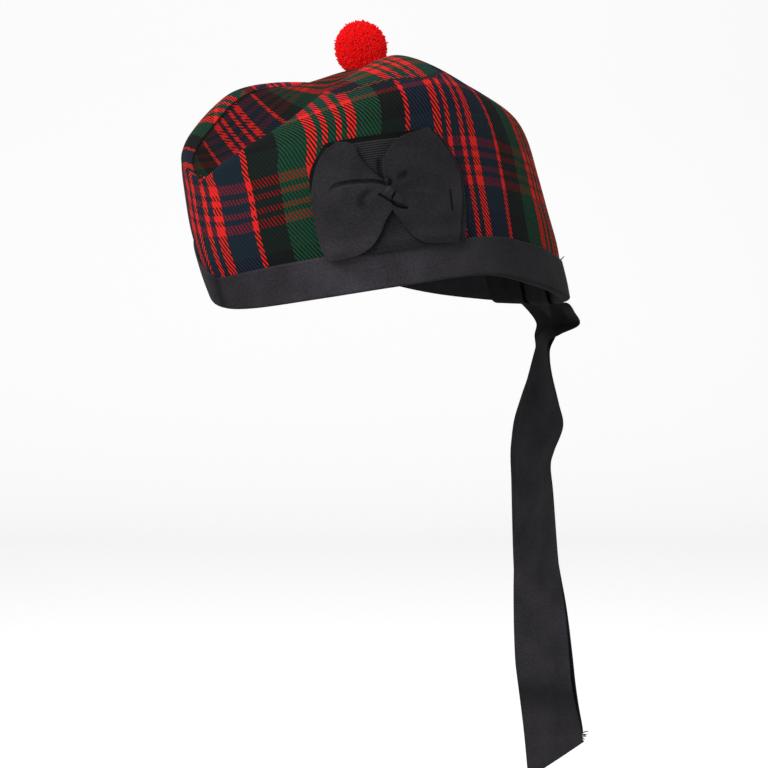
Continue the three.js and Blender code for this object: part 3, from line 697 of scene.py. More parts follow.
def band_profile():
    """Height over the rim and distance out from the cloth, for each row of the sheet."""
    outside, inside = GAP + RIBBON / 2, -CLOTH - GAP - RIBBON / 2
    middle, half = (outside + inside) / 2, (outside - inside) / 2
    round_rim = np.linspace(0, np.pi, 13)[1:-1]
    down = joined(np.linspace(BAND_INSIDE, 0, 12), inside)
    fold = joined(-RIM_FOLD * np.sin(round_rim), middle - half * np.cos(round_rim))
    up = joined(np.linspace(0, BAND_OUTSIDE, 18), outside)
    return np.concatenate([down, fold, up])


def ribbon_band(name):
    slit = BAND_BACK_SLIT / 2 / np.linalg.norm(wall(HALF_RING, 0) - wall(HALF_RING - 1, 0))
    k = np.linspace(HALF_RING + slit, HALF_RING + RING - slit, BAND_COLUMNS)
    section = k - RING
    rim_run = lengths_along(wall(k, 0), 0)
    profile = band_profile()
    height = profile[:, :1] + 0 * k
    outer = profile[:, 1:] > 0
    top = smoothstep(height, EDGE_FROM, BAND_OUTSIDE)
    edge_wave = EDGE_WAVE * np.sin(rim_run / EDGE_WAVE_LENGTH)
    edge_height = np.interp(section, *BAND_TOP.T) - BAND_OUTSIDE + edge_wave
    swell = BAND_SWELL * np.sin(rim_run / BAND_SWELL_LENGTH + 0.6)
    swell = swell * np.sin(np.pi * np.clip(height / BAND_OUTSIDE, 0, 1))
    out = profile[:, 1:] + np.where(outer, swell - EDGE_TUCK * top, 0)
    points = on_side(k + 0 * height, height + np.where(outer, top * edge_height, 0), out)
    band = lay_cloth(name, tilt(points), joined(rim_run, lengths_along(points, 0)))
    # painted shade at the front turn and over the back, painted light on the left side and the front tip's
    # right side
    fold = FRONT_TURN_SHADE["dark"] * hump(section - FRONT_TURN_SHADE["section"], FRONT_TURN_SHADE["width"])
    painted_lighting = BAND_PAINTED_LIGHT["paler"] * hump(section - BAND_PAINTED_LIGHT["section"], BAND_PAINTED_LIGHT["reach"])
    tip = smoothstep(-section, *TIP_PAINTED_LIGHT["begins"]) * (1 - smoothstep(-section, *TIP_PAINTED_LIGHT["ends"]))
    back = smoothstep(section, *BACK_DARK["begins"])
    painted_lighting = painted_lighting + TIP_PAINTED_LIGHT["paler"] * tip - BACK_DARK["dark"] * back
    note(band, "painted_light_and_shade", np.where(outer, fold - painted_lighting, 0) + 0 * height)
    print(name, "is", round(float(rim_run[-1])), "mm round")
    return make_up(band, ribbon, BAND_WALL, BOTH_WAYS)


ribbon_band_piece = ribbon_band("ribbon_band")

# %% [markdown]
# ## The cockade
# A patch of coarser ribbed ribbon with rounded corners is sewn on the left side, and on it lies a ribbon
# twisted once in the middle so that it fans out both ways. The ribs of the patch show between the fans,
# so they are real ridges in its mesh.

# %% Patch of the cockade
COCKADE_SECTION = 3.04
COCKADE_HEIGHT = 41
COCKADE_PITCH = 40.5
# height above the cockade's middle, reach to the front and to the back
PATCH_ROWS = np.array([
    [-25, -32, 29], [-20, -35, 31.6], [-14, -36.4, 33.6], [-6, -37.4, 35], [2, -38.2, 36], [9, -38.6, 35.6],
    [14, -38, 33.8], [18, -35.6, 31.6], [21.5, -32.4, 29.2], [24, -30.2, 26.8], [26, -28.2, 24],
])
PATCH_STEPS_UP, PATCH_STEPS_ALONG = 230, 100
PATCH_RIB = 0.95
PATCH_RIB_DEPTH = 0.2
PATCH_WALL = 0.6
PATCH_TURN, PATCH_TURN_SINK = 2.7, 0.5  # its top edge is turned under, and its front edge higher up
PATCH_FRONT_TURN = (4, 12)
PATCH_SHADOW = [(-4.4, 15.2), (-4.6, 11.4), (-4.2, 8.6)]  # under the back fan's edge
SHADOW_DARK, SHADOW_WIDTH = 0.8, 1.1
LIFT_FOOT = RIBBON + 3 * GAP
LIFT_FROM, LIFT_TO = BAND_OUTSIDE + 1, BAND_OUTSIDE + 8


def cockade_lift(up):
    """The patch lies on the cloth, and on the band at its foot."""
    return LIFT_FOOT + (GAP - LIFT_FOOT) * smoothstep(COCKADE_HEIGHT + up, LIFT_FROM, LIFT_TO)


def on_cockade(along, up, out):
    return on_side(COCKADE_SECTION + along / COCKADE_PITCH, COCKADE_HEIGHT + up, out)


def ribbed_patch(name):
    up, front, back = (column[:, None] for column in smooth_run(PATCH_ROWS, PATCH_STEPS_UP).T)
    along = front + (back - front) * np.linspace(0, 1, PATCH_STEPS_ALONG)
    up = np.broadcast_to(up, along.shape)
    rib_wave = PATCH_RIB_DEPTH * np.sin(2 * np.pi * up / PATCH_RIB)
    from_front = along - front + PATCH_TURN * (1 - smoothstep(up, *PATCH_FRONT_TURN))
    from_edge = np.minimum(PATCH_ROWS[-1, 0] - up, from_front)
    turned = 1 - smoothstep(from_edge, 0.8 * PATCH_TURN, PATCH_TURN)
    out = cockade_lift(up) + RIBBON + rib_wave * (1 - turned) - PATCH_TURN_SINK * turned
    patch = lay_cloth(name, tilt(on_cockade(along, up, out)), joined(up, along))
    # painted shade on the turned edge and in a line under the back fan's edge
    off_shadow, _ = near_line(along, up, PATCH_SHADOW)
    note(patch, "painted_light_and_shade", np.maximum(turned, SHADOW_DARK * hump(off_shadow, SHADOW_WIDTH)))
    print(name, "has", round(np.ptp(PATCH_ROWS[:, 0]) / PATCH_RIB), "ribs")
    return make_up(patch, ribbon, PATCH_WALL, INWARD)


patch_piece = ribbed_patch("ribbon_cockade_patch")

# %% [markdown]
# The fans are laid as two patches, each between four edge curves: along the top, along the bottom, at the
# pinch and at the outer end. The folds are then raised and sunk along lines where the ribbon was pulled: a
# long crease with a proud lip and a soft swirl beside the knot on the front fan, a hollow, a ridge and a
# stitch on the back one, and a groove under the twist on both.

# %% Edges of the two fans
# edge points from the knot's middle: along towards the back and up
FRONT_FAN = {
    "bottom": [(-2, -6.6), (-5.6, -10.8), (-9.4, -16.6), (-14.6, -21.6), (-22, -24.4), (-34, -24.9)],
    "top": [(-2.3, 6.4), (-5.5, 9), (-9, 12), (-11.6, 15.2), (-13.8, 18.6), (-14.9, 22), (-17.8, 24.4),
            (-23, 25.6)],
    "outer": [(-34, -24.9), (-36.6, -20), (-37.7, -13), (-38.3, -5), (-38.2, 3), (-36.8, 11), (-33.6, 16.6),
              (-28.6, 22.2), (-23, 25.6)],
}
BACK_FAN = {
    "bottom": [(-2, -6.6), (-0.4, -9.4), (1.6, -12.8), (4, -17.2), (6.8, -21), (11.6, -23.9), (25.4, -26)],
    "top": [(-2.3, 6.4), (-3.5, 9.4), (-3.5, 12.4), (-2.6, 15.8), (2, 20.5), (6.4, 23), (10.4, 24.6),
            (22, 26.6)],
    "outer": [(25.4, -26), (28.2, -18.6), (31.2, -9.8), (33, -1.8), (33.6, 5.6), (32, 12), (29, 17.8),
              (25.6, 22.6), (22, 26.6)],
}
FAN_STEPS = 150


def between_edges(fan):
    """A patch between four edges, and how far each point lies from the pinch and from the bottom."""
    bottom, top, outer = (smooth_run(fan[edge], FAN_STEPS) for edge in ("bottom", "top", "outer"))
    pinch = np.linspace(bottom[0], top[0], FAN_STEPS)
    a = np.linspace(0, 1, FAN_STEPS)[None, :, None]
    b = np.linspace(0, 1, FAN_STEPS)[:, None, None]
    ruled = (1 - b) * bottom[None] + b * top[None] + (1 - a) * pinch[:, None] + a * outer[:, None]
    corners = (1 - a) * ((1 - b) * bottom[0] + b * top[0]) + a * ((1 - b) * bottom[-1] + b * top[-1])
    return (ruled - corners, *np.broadcast_arrays(a[..., 0], b[..., 0]))


print("front fan reaches", FRONT_FAN["outer"][4][0], "mm, back fan", BACK_FAN["outer"][4][0], "mm")

# %% Folds of the two fans
LONG_CREASE = np.array([
    [-29.6, 4], [-28.4, 6.2], [-25.6, 7.7], [-19.2, 8.1], [-12.2, 7.6], [-7.2, 6.9], [-3.4, 5.6], [-1.4, 4],
])
LIP = {"height": 1.4, "begins": (-29.5, -22), "below": 8, "above": 0.7}
SWIRL = [(-6, 3.6), (-10, 3.4), (-13.2, 1.8), (-14.8, -0.8), (-14, -3.4), (-11.6, -4.6)]
GROOVE = [(-6.8, 1.4), (-2.6, -2.2), (1.4, -5.4), (5.2, -6.6)]
HOLLOW = [(1.8, 6.8), (6, 7.8), (9.4, 8.8)]
LIGHT_RIDGE = [(2.8, 0.8), (10.2, 0.2), (16.2, -1.2), (21.2, -3)]
STITCH = [(25.9, -10.4), (26.4, -6), (26.9, -1.8)]
PINCH = (-1.2, 5.8)
# width of each fold, how far it sinks into the fan and how dark its painted shade gets
FOLDS = {
    "slit": {"width": 0.55, "sinks": 1.2, "dark": 0.9},
    "swirl": {"width": 1.9, "sinks": 0.8, "dark": 0.6},
    "groove": {"width": 0.5, "sinks": 1, "dark": 1},
    "hollow": {"width": 1.7, "sinks": 1, "dark": 0.5},
    "stitch": {"width": 0.5, "sinks": 0.9, "dark": 1},
}
FOLD_FADE = 0.35
PINCH_WIDTH = 1.5
SLIT_OFF, SLIT_BEGINS = 0.2, (0, 0.4)
# the light ridge is raised and also painted paler, as a painted highlight
RIDGE = {"width": 1.1, "height": 0.35, "paler": 0.12}
FRONT_PLEATS = {"height": 0.3, "turns": 9, "start": 1.2, "fade": 1.3}
BACK_PLEATS = {"height": 0.35, "turns": 8, "start": 0, "fade": 1.2}
OUTER_DROOP, FRONT_DROOPS, BACK_DROOPS = 0.9, (0.82, 1), (0.88, 1)
SIDE_DROOP, SIDE_DROOPS = 0.5, (33, 38)
# painted light on the front fan's lower part and painted shade on its upper part
FRONT_PAINTED_LIGHT, PAINTED_LIT_BELOW, PAINTED_SHADE_ABOVE = 0.2, (0, 18), (5, 18)
PROUD_EDGE = {"height": 1.3, "top": (0.8, 1), "ends": (0.2, 0.5)}
# painted shade over the whole back fan
BACK_FAN_SHADE = 0.15


def soft_fold(along, up, line, width):
    """One on a line, fading out to its sides and towards both its ends."""
    off, share = near_line(along, up, line)
    return hump(off, width) * smoothstep(share, 0, FOLD_FADE) * smoothstep(1 - share, 0, FOLD_FADE)


def twist_groove(along, up):
    off_groove, _ = near_line(along, up, GROOVE)
    off_pinch = np.hypot(along - PINCH[0], up - PINCH[1])
    return np.maximum(hump(off_groove, FOLDS["groove"]["width"]), hump(off_pinch, PINCH_WIDTH))


def folded(**shapes):
    """How far folds sink a fan and how dark their painted shade makes it, from the share of each at every
    point.
    """
    sunk = sum(FOLDS[name]["sinks"] * shape for name, shape in shapes.items())
    return sunk, np.maximum.reduce([FOLDS[name]["dark"] * shape for name, shape in shapes.items()])


def pleats(a, b, height, turns, start, fade):
    return height * np.cos(turns * b + start) * (1 - a) ** fade


def soft_dents(along, up):
    """Small dents without a regular pattern."""
    return 0.3 * np.sin(along / 4.9 + 1) * np.sin(up / 5.7 + 0.4) + 0.15 * np.sin(along / 2.7 - up / 3.3)


def front_fan_folds(along, up, a, b):
    over = up - np.interp(along, *LONG_CREASE.T)
    lip = np.where(over < 0, hump(over, LIP["below"]), 1 - smoothstep(over, 0, LIP["above"]))
    lip = LIP["height"] * smoothstep(along, *LIP["begins"]) * lip
    off_crease, share = near_line(along, up, LONG_CREASE)
    slit = hump(off_crease - SLIT_OFF, FOLDS["slit"]["width"]) * smoothstep(share, *SLIT_BEGINS)
    swirl = soft_fold(along, up, SWIRL, FOLDS["swirl"]["width"])
    sunk, dark = folded(slit=slit, swirl=swirl, groove=twist_groove(along, up))
    droop = OUTER_DROOP * smoothstep(a, *FRONT_DROOPS) + SIDE_DROOP * smoothstep(-along, *SIDE_DROOPS)
    rise = lip + pleats(a, b, **FRONT_PLEATS) + soft_dents(along, up) - droop - sunk
    painted_lighting = FRONT_PAINTED_LIGHT * (smoothstep(-up, *PAINTED_LIT_BELOW) - smoothstep(up, *PAINTED_SHADE_ABOVE))
    return rise, dark - painted_lighting


def back_fan_folds(along, up, a, b):
    hollow = soft_fold(along, up, HOLLOW, FOLDS["hollow"]["width"])
    ridge = soft_fold(along, up, LIGHT_RIDGE, RIDGE["width"])
    off_stitch, _ = near_line(along, up, STITCH)
    stitch = hump(off_stitch, FOLDS["stitch"]["width"])
    sunk, dark = folded(hollow=hollow, stitch=stitch, groove=twist_groove(along, up))
    proud = smoothstep(b, *PROUD_EDGE["top"]) * (1 - smoothstep(a, *PROUD_EDGE["ends"]))
    proud = PROUD_EDGE["height"] * proud + RIDGE["height"] * ridge
    droop = OUTER_DROOP * smoothstep(a, *BACK_DROOPS)
    rise = proud + pleats(a, b, **BACK_PLEATS) + soft_dents(up, along) - droop - sunk
    return rise, dark - RIDGE["paler"] * ridge + BACK_FAN_SHADE


print("folds:", ", ".join(FOLDS))

# %% Fans of the bow
FAN_FOOT = 2 * RIBBON + 2 * GAP + 0.8
FAN_BUNCH = 2.2  # how far the ribbon bulges where it is gathered
FAN_LOWEST = -1.2
FAN_SLANT = (0.8, 0.3)  # the fine ribs run aslant on the fans
BOW_WALL = 0.9


def bow_fan(name, fan, folds):
    flat, a, b = between_edges(fan)
    along, up = flat[..., 0], flat[..., 1]
    bunched = FAN_BUNCH * (1 - a) ** 2.5 * np.sin(np.pi * b) ** 0.5
    rise, depth = folds(along, up, a, b)
    out = cockade_lift(up) + FAN_FOOT + bunched + np.maximum(rise, FAN_LOWEST)
    points = on_cockade(along, up, out)
    threads_here = joined(FAN_SLANT[0] * along + FAN_SLANT[1] * up, up)
    if fan is FRONT_FAN:
        points, threads_here, depth = points[:, ::-1], threads_here[:, ::-1], depth[:, ::-1]
    piece = lay_cloth(name, tilt(points), threads_here)
    # depth holds the fan's painted shade, and painted light where it is below 0
    note(piece, "painted_light_and_shade", depth)
    return make_up(piece, ribbon, BOW_WALL, INWARD)


front_fan = bow_fan("ribbon_bow_front_fan", FRONT_FAN, front_fan_folds)
back_fan = bow_fan("ribbon_bow_back_fan", BACK_FAN, back_fan_folds)

# %% [markdown]
# The twist itself is a narrow length of the ribbon that crosses the pinch from the upper front to the lower
# back. It folds over itself halfway, so its upper half stands a step above the lower half.

# %% Twist over the pinch
TWIST_MIDDLE = (-0.4, -0.6)
TWIST_TURN = math.radians(-47)
# along the twist, its lower and its upper edge
TWIST_EDGES = [
    (-7.2, -1, -0.2), (-4.4, -2, 3), (-1.3, -2.3, 2.5), (2.6, -1.7, 2.9), (5, -1, 1.7), (6.8, -0.3, 0.2),
]
TWIST_FROM, TWIST_TO = TWIST_EDGES[0][0], TWIST_EDGES[-1][0]
TWIST_STEPS_ALONG, TWIST_STEPS_UP = 110, 44
TWIST_FOOT = 2 * RIBBON + 1.6
TWIST_HEIGHT = 2.8
TWIST_FALLS = (3.2, 3.5)  # the lengths over which its two ends go down
SETTLE = {"along": (-1, 4), "up": (0.3, 1), "by": 0.8}  # where its back half sinks in
TWIST_FOLD, FOLD_SLANT = -1.3, 0.2  # where along the twist it folds over itself
FOLD_STEP = {"height": 1.1, "over": (-0.2, 0.3)}
FOLD_SLIT = {"depth": 0.9, "past": 0.45, "width": 0.45}
UNDER_EDGE = (0.03, 0.1)  # its lower edge lies in shade


def twist(name):
    x, low, high = (column[None] for column in smooth_run(TWIST_EDGES, TWIST_STEPS_ALONG).T)
    share = np.linspace(0, 1, TWIST_STEPS_UP)[:, None]
    y = low + (high - low) * share
    x = np.broadcast_to(x, y.shape)
    along = TWIST_MIDDLE[0] + x * math.cos(TWIST_TURN) - y * math.sin(TWIST_TURN)
    up = TWIST_MIDDLE[1] + x * math.sin(TWIST_TURN) + y * math.cos(TWIST_TURN)
    ends = smoothstep(x - TWIST_FROM, 0, TWIST_FALLS[0]) * smoothstep(TWIST_TO - x, 0, TWIST_FALLS[1])
    settle = SETTLE["by"] * smoothstep(x, *SETTLE["along"]) * smoothstep(share, *SETTLE["up"])
    rounded = (1 - np.abs(2 * share - 1) ** 4) * ends * (1 - settle)
    past_fold = x - TWIST_FOLD + FOLD_SLANT * y
    step = FOLD_STEP["height"] * (1 - smoothstep(past_fold, *FOLD_STEP["over"]))
    slit = hump(past_fold - FOLD_SLIT["past"], FOLD_SLIT["width"])
    rise = TWIST_HEIGHT * rounded**0.6 + step * rounded - FOLD_SLIT["depth"] * slit
    out = cockade_lift(up) + TWIST_FOOT + rise
    piece = lay_cloth(name, tilt(on_cockade(along, up, out)), joined(x, y))
    # painted shade in the slit and along the lower edge
    note(piece, "painted_light_and_shade", np.maximum(slit, 1 - smoothstep(share, *UNDER_EDGE)))
    return make_up(piece, ribbon, BOW_WALL, INWARD)


twist_piece = twist("ribbon_bow_twist")

# %% [markdown]
# ## The toorie
# The pompom is a tied bundle of wool yarn, cut round. Hair particles would not export, so each cut end of
# yarn is a short blunt rod that runs out from the middle, a little bent, and there are enough of them to
# hide the core. Each rod keeps one shade of the red in an attribute. Light soaks into such fluff, so the
# yarn scatters it below its surface, and a faint red emission, painted light, makes it glow a little.

# %% Yarn material
YARN_REDS = [(0.2, "#ff0c10"), (0.8, "#ff2a2c")]
FLUFF_PER_MM = 2.6
FLUFF_RELIEF = 0.2
LIGHT_SOAKS = 1.5  # how deep in mm
yarn, tree, yarn_shader = new_material("red_wool_yarn")
own_shade = add_node(tree, "Attribute", attribute_name="yarn_shade").outputs["Fac"]
here = add_node(tree, "TexCoord").outputs["Object"]
fluff = add_node(tree, "TexNoise", {"Vector": here, "Scale": FLUFF_PER_MM / MM, "Detail": 2.0})
blend = add_node(tree, "Math", {0: own_shade, 1: fluff}, operation="ADD")
half = add_node(tree, "Math", {0: blend, 1: 0.5}, operation="MULTIPLY")
reds = add_node(tree, "ValToRGB", {0: half})
for stop, (place, colour) in zip(reds.color_ramp.elements, YARN_REDS):
    stop.position, stop.color = place, srgb(colour)
soft = add_node(tree, "Bump", {"Strength": 0.4, "Distance": FLUFF_RELIEF * MM, "Height": fluff})
# the faint emission is painted light that keeps the yarn's shaded parts bright
set_sockets(tree, yarn_shader, {
    "Base Color": reds, "Normal": soft, "Emission Color": reds, "Emission Strength": 0.05, "Roughness": 0.95,
    "Subsurface Weight": 0.5, "Subsurface Radius": (1, 0.2, 0.1), "Subsurface Scale": LIGHT_SOAKS * MM,
    "Specular IOR Level": 0.02, "Sheen Weight": 0.01, "Sheen Roughness": 0.5,
})
print(yarn.name, "with", len(tree.nodes), "nodes")

# %% Rods for yarn and threads
def rod_points(roots, tips, bend, side, radii, sides, blunt):
    """For each rod a ring of points for each radius, bent on the way to its tip, and then the tip's end."""
    heading = unit(tips - roots)
    angle = np.arange(sides)[:, None] * 2 * math.pi / sides
    ring = np.cos(angle) * side[:, None] + np.sin(angle) * np.cross(heading, side)[:, None]
    share = np.linspace(0, 1, len(radii))[:, None]
    middle = roots[:, None] + share * (tips - roots)[:, None] + share**2 * bend[:, None]
    rings = middle[:, :, None] + radii[:, None, None] * ring[:, None]
    ends = middle[:, -1:] + blunt * heading[:, None]
    return np.concatenate([rings.reshape(len(roots), -1, 3), ends], axis=1)


def rods(name, points, sides, finish):
    """Closed rods from the points of each."""
    count, each = points.shape[:2]
    last = each - 1 - sides
    faces = [tuple(range(sides))[::-1]]
    for ring in range(0, last, sides):
        for s in range(sides):
            a, b = ring + s, ring + (s + 1) % sides
            faces.append((a, b, b + sides, a + sides))
    faces += [(last + s, last + (s + 1) % sides, last + sides) for s in range(sides)]
    mesh = bpy.data.meshes.new(name)
    all_faces = [tuple(v + n * each for v in face) for n in range(count) for face in faces]
    mesh.from_pydata((points.reshape(-1, 3) * MM).tolist(), [], all_faces)
    mesh.materials.append(finish)
    piece = bpy.data.objects.new(name, mesh)
    bpy.context.collection.objects.link(piece)
    print(name, count, "rods,", len(mesh.polygons), "faces")
    return piece


# %% Yarn ends
TOORIE_MIDDLE = np.array([0, 1.4, 105.6])
TOORIE_SQUEEZE = np.array([0.95, 0.95, 1])  # it stands a little taller than wide
YARN_COUNT = 8500
YARN_SIDES = 3
YARN_RADII = 0.45 * np.array([0.8, 1.1, 0.85])
YARN_ROOT = 8.5
YARN_TIP = (12.2, 12.8)
YARN_BLUNT = 0.12
YARN_LOWEST = -0.8
YARN_STRAY, YARN_BEND = 0.035, 0.45
LONG_END, LONG_ENDS_FROM = 0.5, 0.985  # a few ends stand out
GOLDEN_TURN = math.pi * (3 - math.sqrt(5))


def yarn_directions(count):
    i = np.arange(count)
    z = 1 - (1 - YARN_LOWEST) * (i + 0.5) / count
    flat = np.sqrt(1 - z * z)
    return joined(flat * np.cos(GOLDEN_TURN * i), flat * np.sin(GOLDEN_TURN * i), z)


def yarn_toorie(name):
    draw = np.random.default_rng(11)
    each = (YARN_COUNT, 3)
    heading = unit(yarn_directions(YARN_COUNT) + draw.normal(0, YARN_STRAY, each))
    bend = draw.normal(0, YARN_BEND, each)
    tip = draw.uniform(*YARN_TIP, YARN_COUNT) + LONG_END * (draw.random(YARN_COUNT) > LONG_ENDS_FROM)
    side = unit(np.cross(heading, draw.normal(0, 1, each)))
    roots, tips = YARN_ROOT * heading, tip[:, None] * heading
    points = rod_points(roots, tips, bend, side, YARN_RADII, YARN_SIDES, YARN_BLUNT)
    toorie = rods(name, tilt(points * TOORIE_SQUEEZE + TOORIE_MIDDLE), YARN_SIDES, yarn)
    note(toorie, "yarn_shade", np.repeat(draw.random(YARN_COUNT), points.shape[1]))
    return toorie


toorie_piece = yarn_toorie("yarn_toorie")

# %% [markdown]
# ## The tails
# Two ribbons come out from under the band at the back, swell out in a fold and then hang down. They follow
# a centre line with a turn of the width at each row. Cloth simulation would let them swing out of the
# folds that they have here, so the sheets are laid along that line, with a shallow cup across them, and
# their slanted ends are left raw.

# %% Tails of ribbon
TAIL_WIDTH = 36
TAIL_CUT_DROP = 24
TAIL_CUP, TAIL_CUP_BEGINS = 0.6, (6, 10)  # the second counts rows of the tables
TAIL_WALL = 0.7
TAIL_STEPS = 300
TAIL_ACROSS = 30
# x, y, z of the centre line, turn of the width from +X in degrees, share of the full width
TAIL_LEFT = np.array([
    [12, 83, -5, -14, 0.58], [12, 86, -15, -14, 0.58], [12, 89, -20.9, -11, 0.56], [13, 98, -20.3, -8, 0.56],
    [13.4, 102, -25, 1, 0.5], [11.6, 105.2, -31, 6, 0.56], [8.4, 99.7, -35.5, -18, 0.64],
    [5.4, 96.7, -39.5, -29, 0.75], [3.4, 97.3, -47, -27, 0.88], [2, 98, -57, -21, 0.95], [2, 98, -71, -10, 1],
    [2, 98.5, -82.5, -3, 1], [2, 95, -95, -10, 1], [2, 93.5, -102.5, -12, 1], [2, 94.5, -116, -10, 1],
    [2.4, 95.2, -152, -2, 1], [2.8, 96.9, -177, 6, 1], [3, 98.6, -201, 10, 1], [3, 100.2, -215, 10, 1],
    [3, 105.7, -242, 11, 1], [3, 108.2, -258, 10, 1],
])
TAIL_RIGHT = np.array([
    [-12, 83, -5, 14, 0.58], [-12, 85.5, -15, 14, 0.58], [-12, 89, -20.8, 10, 0.56],
    [-10, 98.8, -20.2, 0, 0.54], [-7, 105, -25, 0, 0.58], [-5.8, 109.5, -32, 0, 0.54],
    [-5.2, 106.4, -38, -12, 0.6], [-4, 104.1, -43.5, -24, 0.7], [-4.4, 104.2, -50, -26, 0.84],
    [-5, 104, -59, -20, 0.94], [-6, 103.5, -71.5, -10, 1], [-9, 104, -83, -3, 1], [-9, 100, -95.5, -9, 1],
    [-9, 99, -103, -11, 1], [-9, 100, -116, -10, 1], [-7.5, 103, -152, -1, 1], [-6, 105.5, -177, 6, 1],
    [-4.6, 107, -201, 11, 1], [-4.6, 109, -215, 11, 1], [-4.8, 113, -240, 11, 1], [-5, 115, -254.5, 11, 1],
])
# heights of the facet of the fold that faces the light, which gets painted light, and of the slit under it
# and the bend near the end, which get painted shade
TAIL_FACET = {"z": -25.5, "width": 4.5, "across": (0.02, 0.25), "paler": 0.7}
TAIL_SLIT = {"z": -30.5, "width": 1.1, "across": (0.05, 0.25), "dark": 0.9}
TAIL_BEND = {"z": -223, "width": 8, "dark": 0.6}
TAIL_ROOT = {"ends": (-62, -42), "dark": 0.6}  # the hat keeps the light off up there
TAIL_END = (130, 190)  # painted light: the end gets paler from here to here below the origin


def ribbon_tail(name, rows, end_painted_light):
    steps = np.linspace(0, len(rows) - 1, TAIL_STEPS)
    run = along_rows(rows, steps)
    middle, turn, share = run[:, :3], np.radians(run[:, 3]), run[:, 4:]
    width_way = joined(np.cos(turn), np.sin(turn), 0)
    face = unit(np.cross(width_way, np.gradient(middle, axis=0)))
    across = np.linspace(-0.5, 0.5, TAIL_ACROSS)
    cup = TAIL_CUP * np.cos(2 * np.pi * across) * smoothstep(steps, *TAIL_CUP_BEGINS)[:, None]
    points = middle[:, None] + (across * TAIL_WIDTH * share)[..., None] * width_way[:, None]
    points = points + cup[..., None] * face[:, None]
    cut = smoothstep(steps, len(rows) - 3, len(rows) - 1)[:, None]
    points[..., 2] += cut * across * TAIL_CUT_DROP
    tail = lay_cloth(name, points, joined(lengths_along(points, 0), across * TAIL_WIDTH))
    z = points[..., 2]
    facet = hump(z - TAIL_FACET["z"], TAIL_FACET["width"]) * smoothstep(across, *TAIL_FACET["across"])
    slit = hump(z - TAIL_SLIT["z"], TAIL_SLIT["width"]) * smoothstep(across, *TAIL_SLIT["across"])
    in_shade = TAIL_ROOT["dark"] * smoothstep(z, *TAIL_ROOT["ends"]) * (1 - facet)
    bend = TAIL_BEND["dark"] * hump(z - TAIL_BEND["z"], TAIL_BEND["width"])
    painted_lighting = TAIL_FACET["paler"] * facet + end_painted_light * smoothstep(-z, *TAIL_END)
    note(tail, "painted_light_and_shade", np.maximum.reduce([in_shade, TAIL_SLIT["dark"] * slit, bend]) - painted_lighting)
    length = float(lengths_along(middle, 0)[-1])
    print(name, "is", round(length), "mm long")
    return make_up(tail, ribbon, TAIL_WALL, BOTH_WAYS), length


tail_left, tail_left_length = ribbon_tail("ribbon_tail_left", TAIL_LEFT, 0.3)
tail_right, tail_right_length = ribbon_tail("ribbon_tail_right", TAIL_RIGHT, 1.2)

# %% [markdown]
# A few threads have come loose, at the corner of the raw end and at the top of the band behind. They are
# made as the yarn is, but thinner towards the tip.

# %% Loose threads
# root and tip of each thread
CORNER_THREADS = np.array([
    [[20, 110.8, -241.2], [21.9, 113.3, -239.8]], [[20, 110.8, -241.8], [21.4, 112.4, -242.2]],
    [[20, 110.8, -242], [21.7, 112.8, -241.6]], [[20.1, 110.9, -242.8], [21.4, 112.4, -242.6]],
    [[20.2, 110.9, -243.6], [21, 112, -244.2]], [[20.3, 111, -245], [20.9, 111.8, -245.6]],
])
BAND_THREADS = np.array([[[36.2, 80.2, 1.2], [37.4, 81.7, 4]]])
THREAD_RADII = 0.4 * np.linspace(1, 0.5, 5)
THREAD_SIDES = 5
THREAD_BEND = 0.5
THREAD_BLUNT = 0.2


def loose_threads(name, runs):
    roots, tips = runs[:, 0], runs[:, 1]
    heading = unit(tips - roots)
    side = unit(np.cross(heading, [0, 0, 1]))
    bend = THREAD_BEND * np.cross(heading, side)
    points = rod_points(roots, tips, bend, side, THREAD_RADII, THREAD_SIDES, THREAD_BLUNT)
    return rods(name, points, THREAD_SIDES, ribbon)


corner_threads = loose_threads("ribbon_tail_threads", CORNER_THREADS)
band_threads = loose_threads("ribbon_band_threads", BAND_THREADS)

# %% [markdown]
# ## Floor and light
# The cap hangs as it is worn, over a plain pale floor that curves up into a backdrop. Large soft lights
# stand at the front left, high and low, overhead and far to the right, and the pale world fills the shadows.

# %% Pale sweep
FLOOR_Z = -330
SWEEP_BACK = 1500
SWEEP_BEND = 500
SWEEP_REACH = 2500
SWEEP_GLOW = 0.52  # the paper is lit by itself, so that it stays pale
pale, tree, pale_shader = new_material("pale_paper_sweep")
set_sockets(tree, pale_shader, {
    "Base Color": srgb("#f4f4f4"), "Roughness": 0.9, "Emission Color": srgb("#ffffff"),
    "Emission Strength": SWEEP_GLOW,
})


def pale_sweep(name):
    turn = np.linspace(0, math.pi / 2, 16)
    near = joined(np.linspace(-SWEEP_REACH, SWEEP_BACK, 12), 0)
    bend = joined(SWEEP_BACK + SWEEP_BEND * np.sin(turn), SWEEP_BEND - SWEEP_BEND * np.cos(turn))
    rise = joined(SWEEP_BACK + SWEEP_BEND, np.linspace(SWEEP_BEND, SWEEP_REACH, 7))
    profile = np.concatenate([near, bend[1:], rise[1:]])
    side = np.linspace(-SWEEP_REACH, SWEEP_REACH, 8)
    flat_away = unit(np.array([away[0], away[1], 0]))
    points = profile[:, None, :1] * flat_away + side[None, :, None] * to_right
    points[..., 2] = FLOOR_Z + profile[:, 1:]
    sweep = lay_cloth(name, points, points[..., :2])
    sweep.data.materials.append(pale)
    return sweep


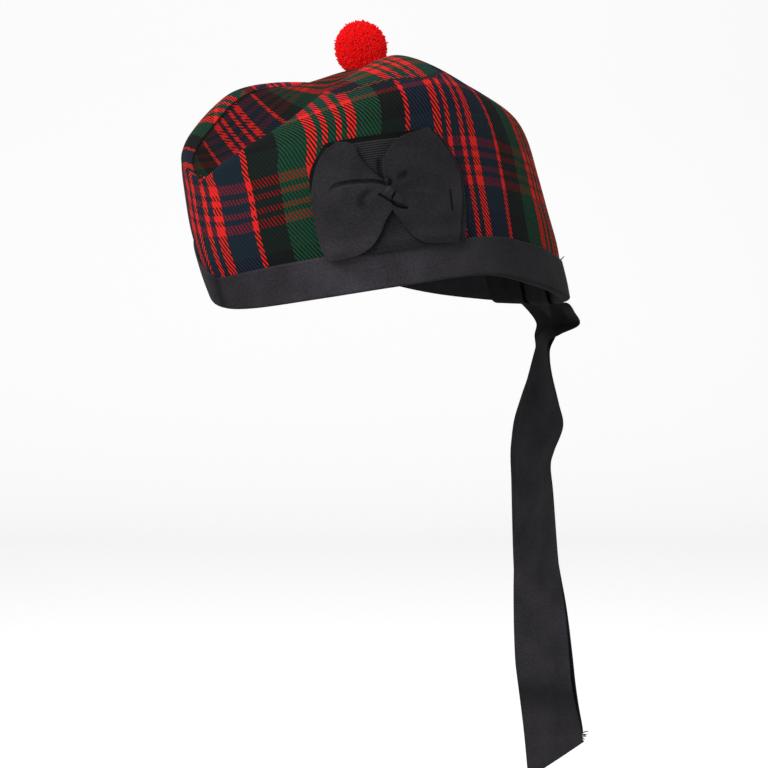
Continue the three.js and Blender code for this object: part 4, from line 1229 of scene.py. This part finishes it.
sweep = pale_sweep("pale_sweep")
sweep.visible_diffuse = False
sweep.visible_glossy = False
print("floor at", FLOOR_Z, "mm")

# %% Soft lights
WORLD_LIGHT = 0.28


def soft_light(name, place, size, power):
    """A square light at a place given to the right, up and towards the camera, turned to the cap."""
    lamp = bpy.data.objects.new(name, bpy.data.lights.new(name, "AREA"))
    bpy.context.collection.objects.link(lamp)
    lamp.data.size = size * MM
    lamp.data.energy = power
    spot = place[0] * to_right + place[1] * upward - place[2] * away
    back = unit(spot)
    across = unit(np.cross(np.array([0, 0, 1.0]), back))
    lamp.matrix_world = facing((across, np.cross(back, across), back), spot)
    return lamp


soft_light("key_front_left", (-700, 700, 1150), 900, 14)
soft_light("overhead", (-200, 1400, 100), 1000, 5.5)
soft_light("far_right", (1250, 350, -100), 900, 3.5)
soft_light("low_front_left", (-600, -350, 1300), 900, 6)
world = bpy.context.scene.world or bpy.data.worlds.new("studio")
bpy.context.scene.world = world
world.use_nodes = True
set_sockets(world.node_tree, world.node_tree.nodes["Background"], {0: (1, 1, 1, 1), 1: WORLD_LIGHT})
bpy.context.scene.view_settings.view_transform = "Standard"

# %% [markdown]
# ## Joining the frame
# Every piece rides on the one body of the cap and stands for its solid, which is hidden. The loose threads
# stand for no solid.

# %% Pieces on the frame
PIECES = [
    (wool_left, "tartan_wool", ["side_panel_left"]),
    (wool_right, "tartan_wool", ["side_panel_right"]),
    (wool_insert, "tartan_wool", ["top_insert"]),
    (ribbon_band_piece, "black_ribbon", ["band"]),
    (patch_piece, "black_ribbon", ["cockade_base"]),
    (front_fan, "black_ribbon", ["cockade_bow"]),
    (back_fan, "black_ribbon", ["cockade_bow"]),
    (twist_piece, "black_ribbon", ["cockade_knot"]),
    (toorie_piece, "red_wool_yarn", ["toorie"]),
    (tail_left, "black_ribbon", ["tail_left"]),
    (tail_right, "black_ribbon", ["tail_right"]),
    (corner_threads, "black_ribbon", []),
    (band_threads, "black_ribbon", []),
]
for piece, finish, nodes in PIECES:
    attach(piece, "root")
    if nodes:
        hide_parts(*nodes)
print(len(PIECES), "pieces on the frame")
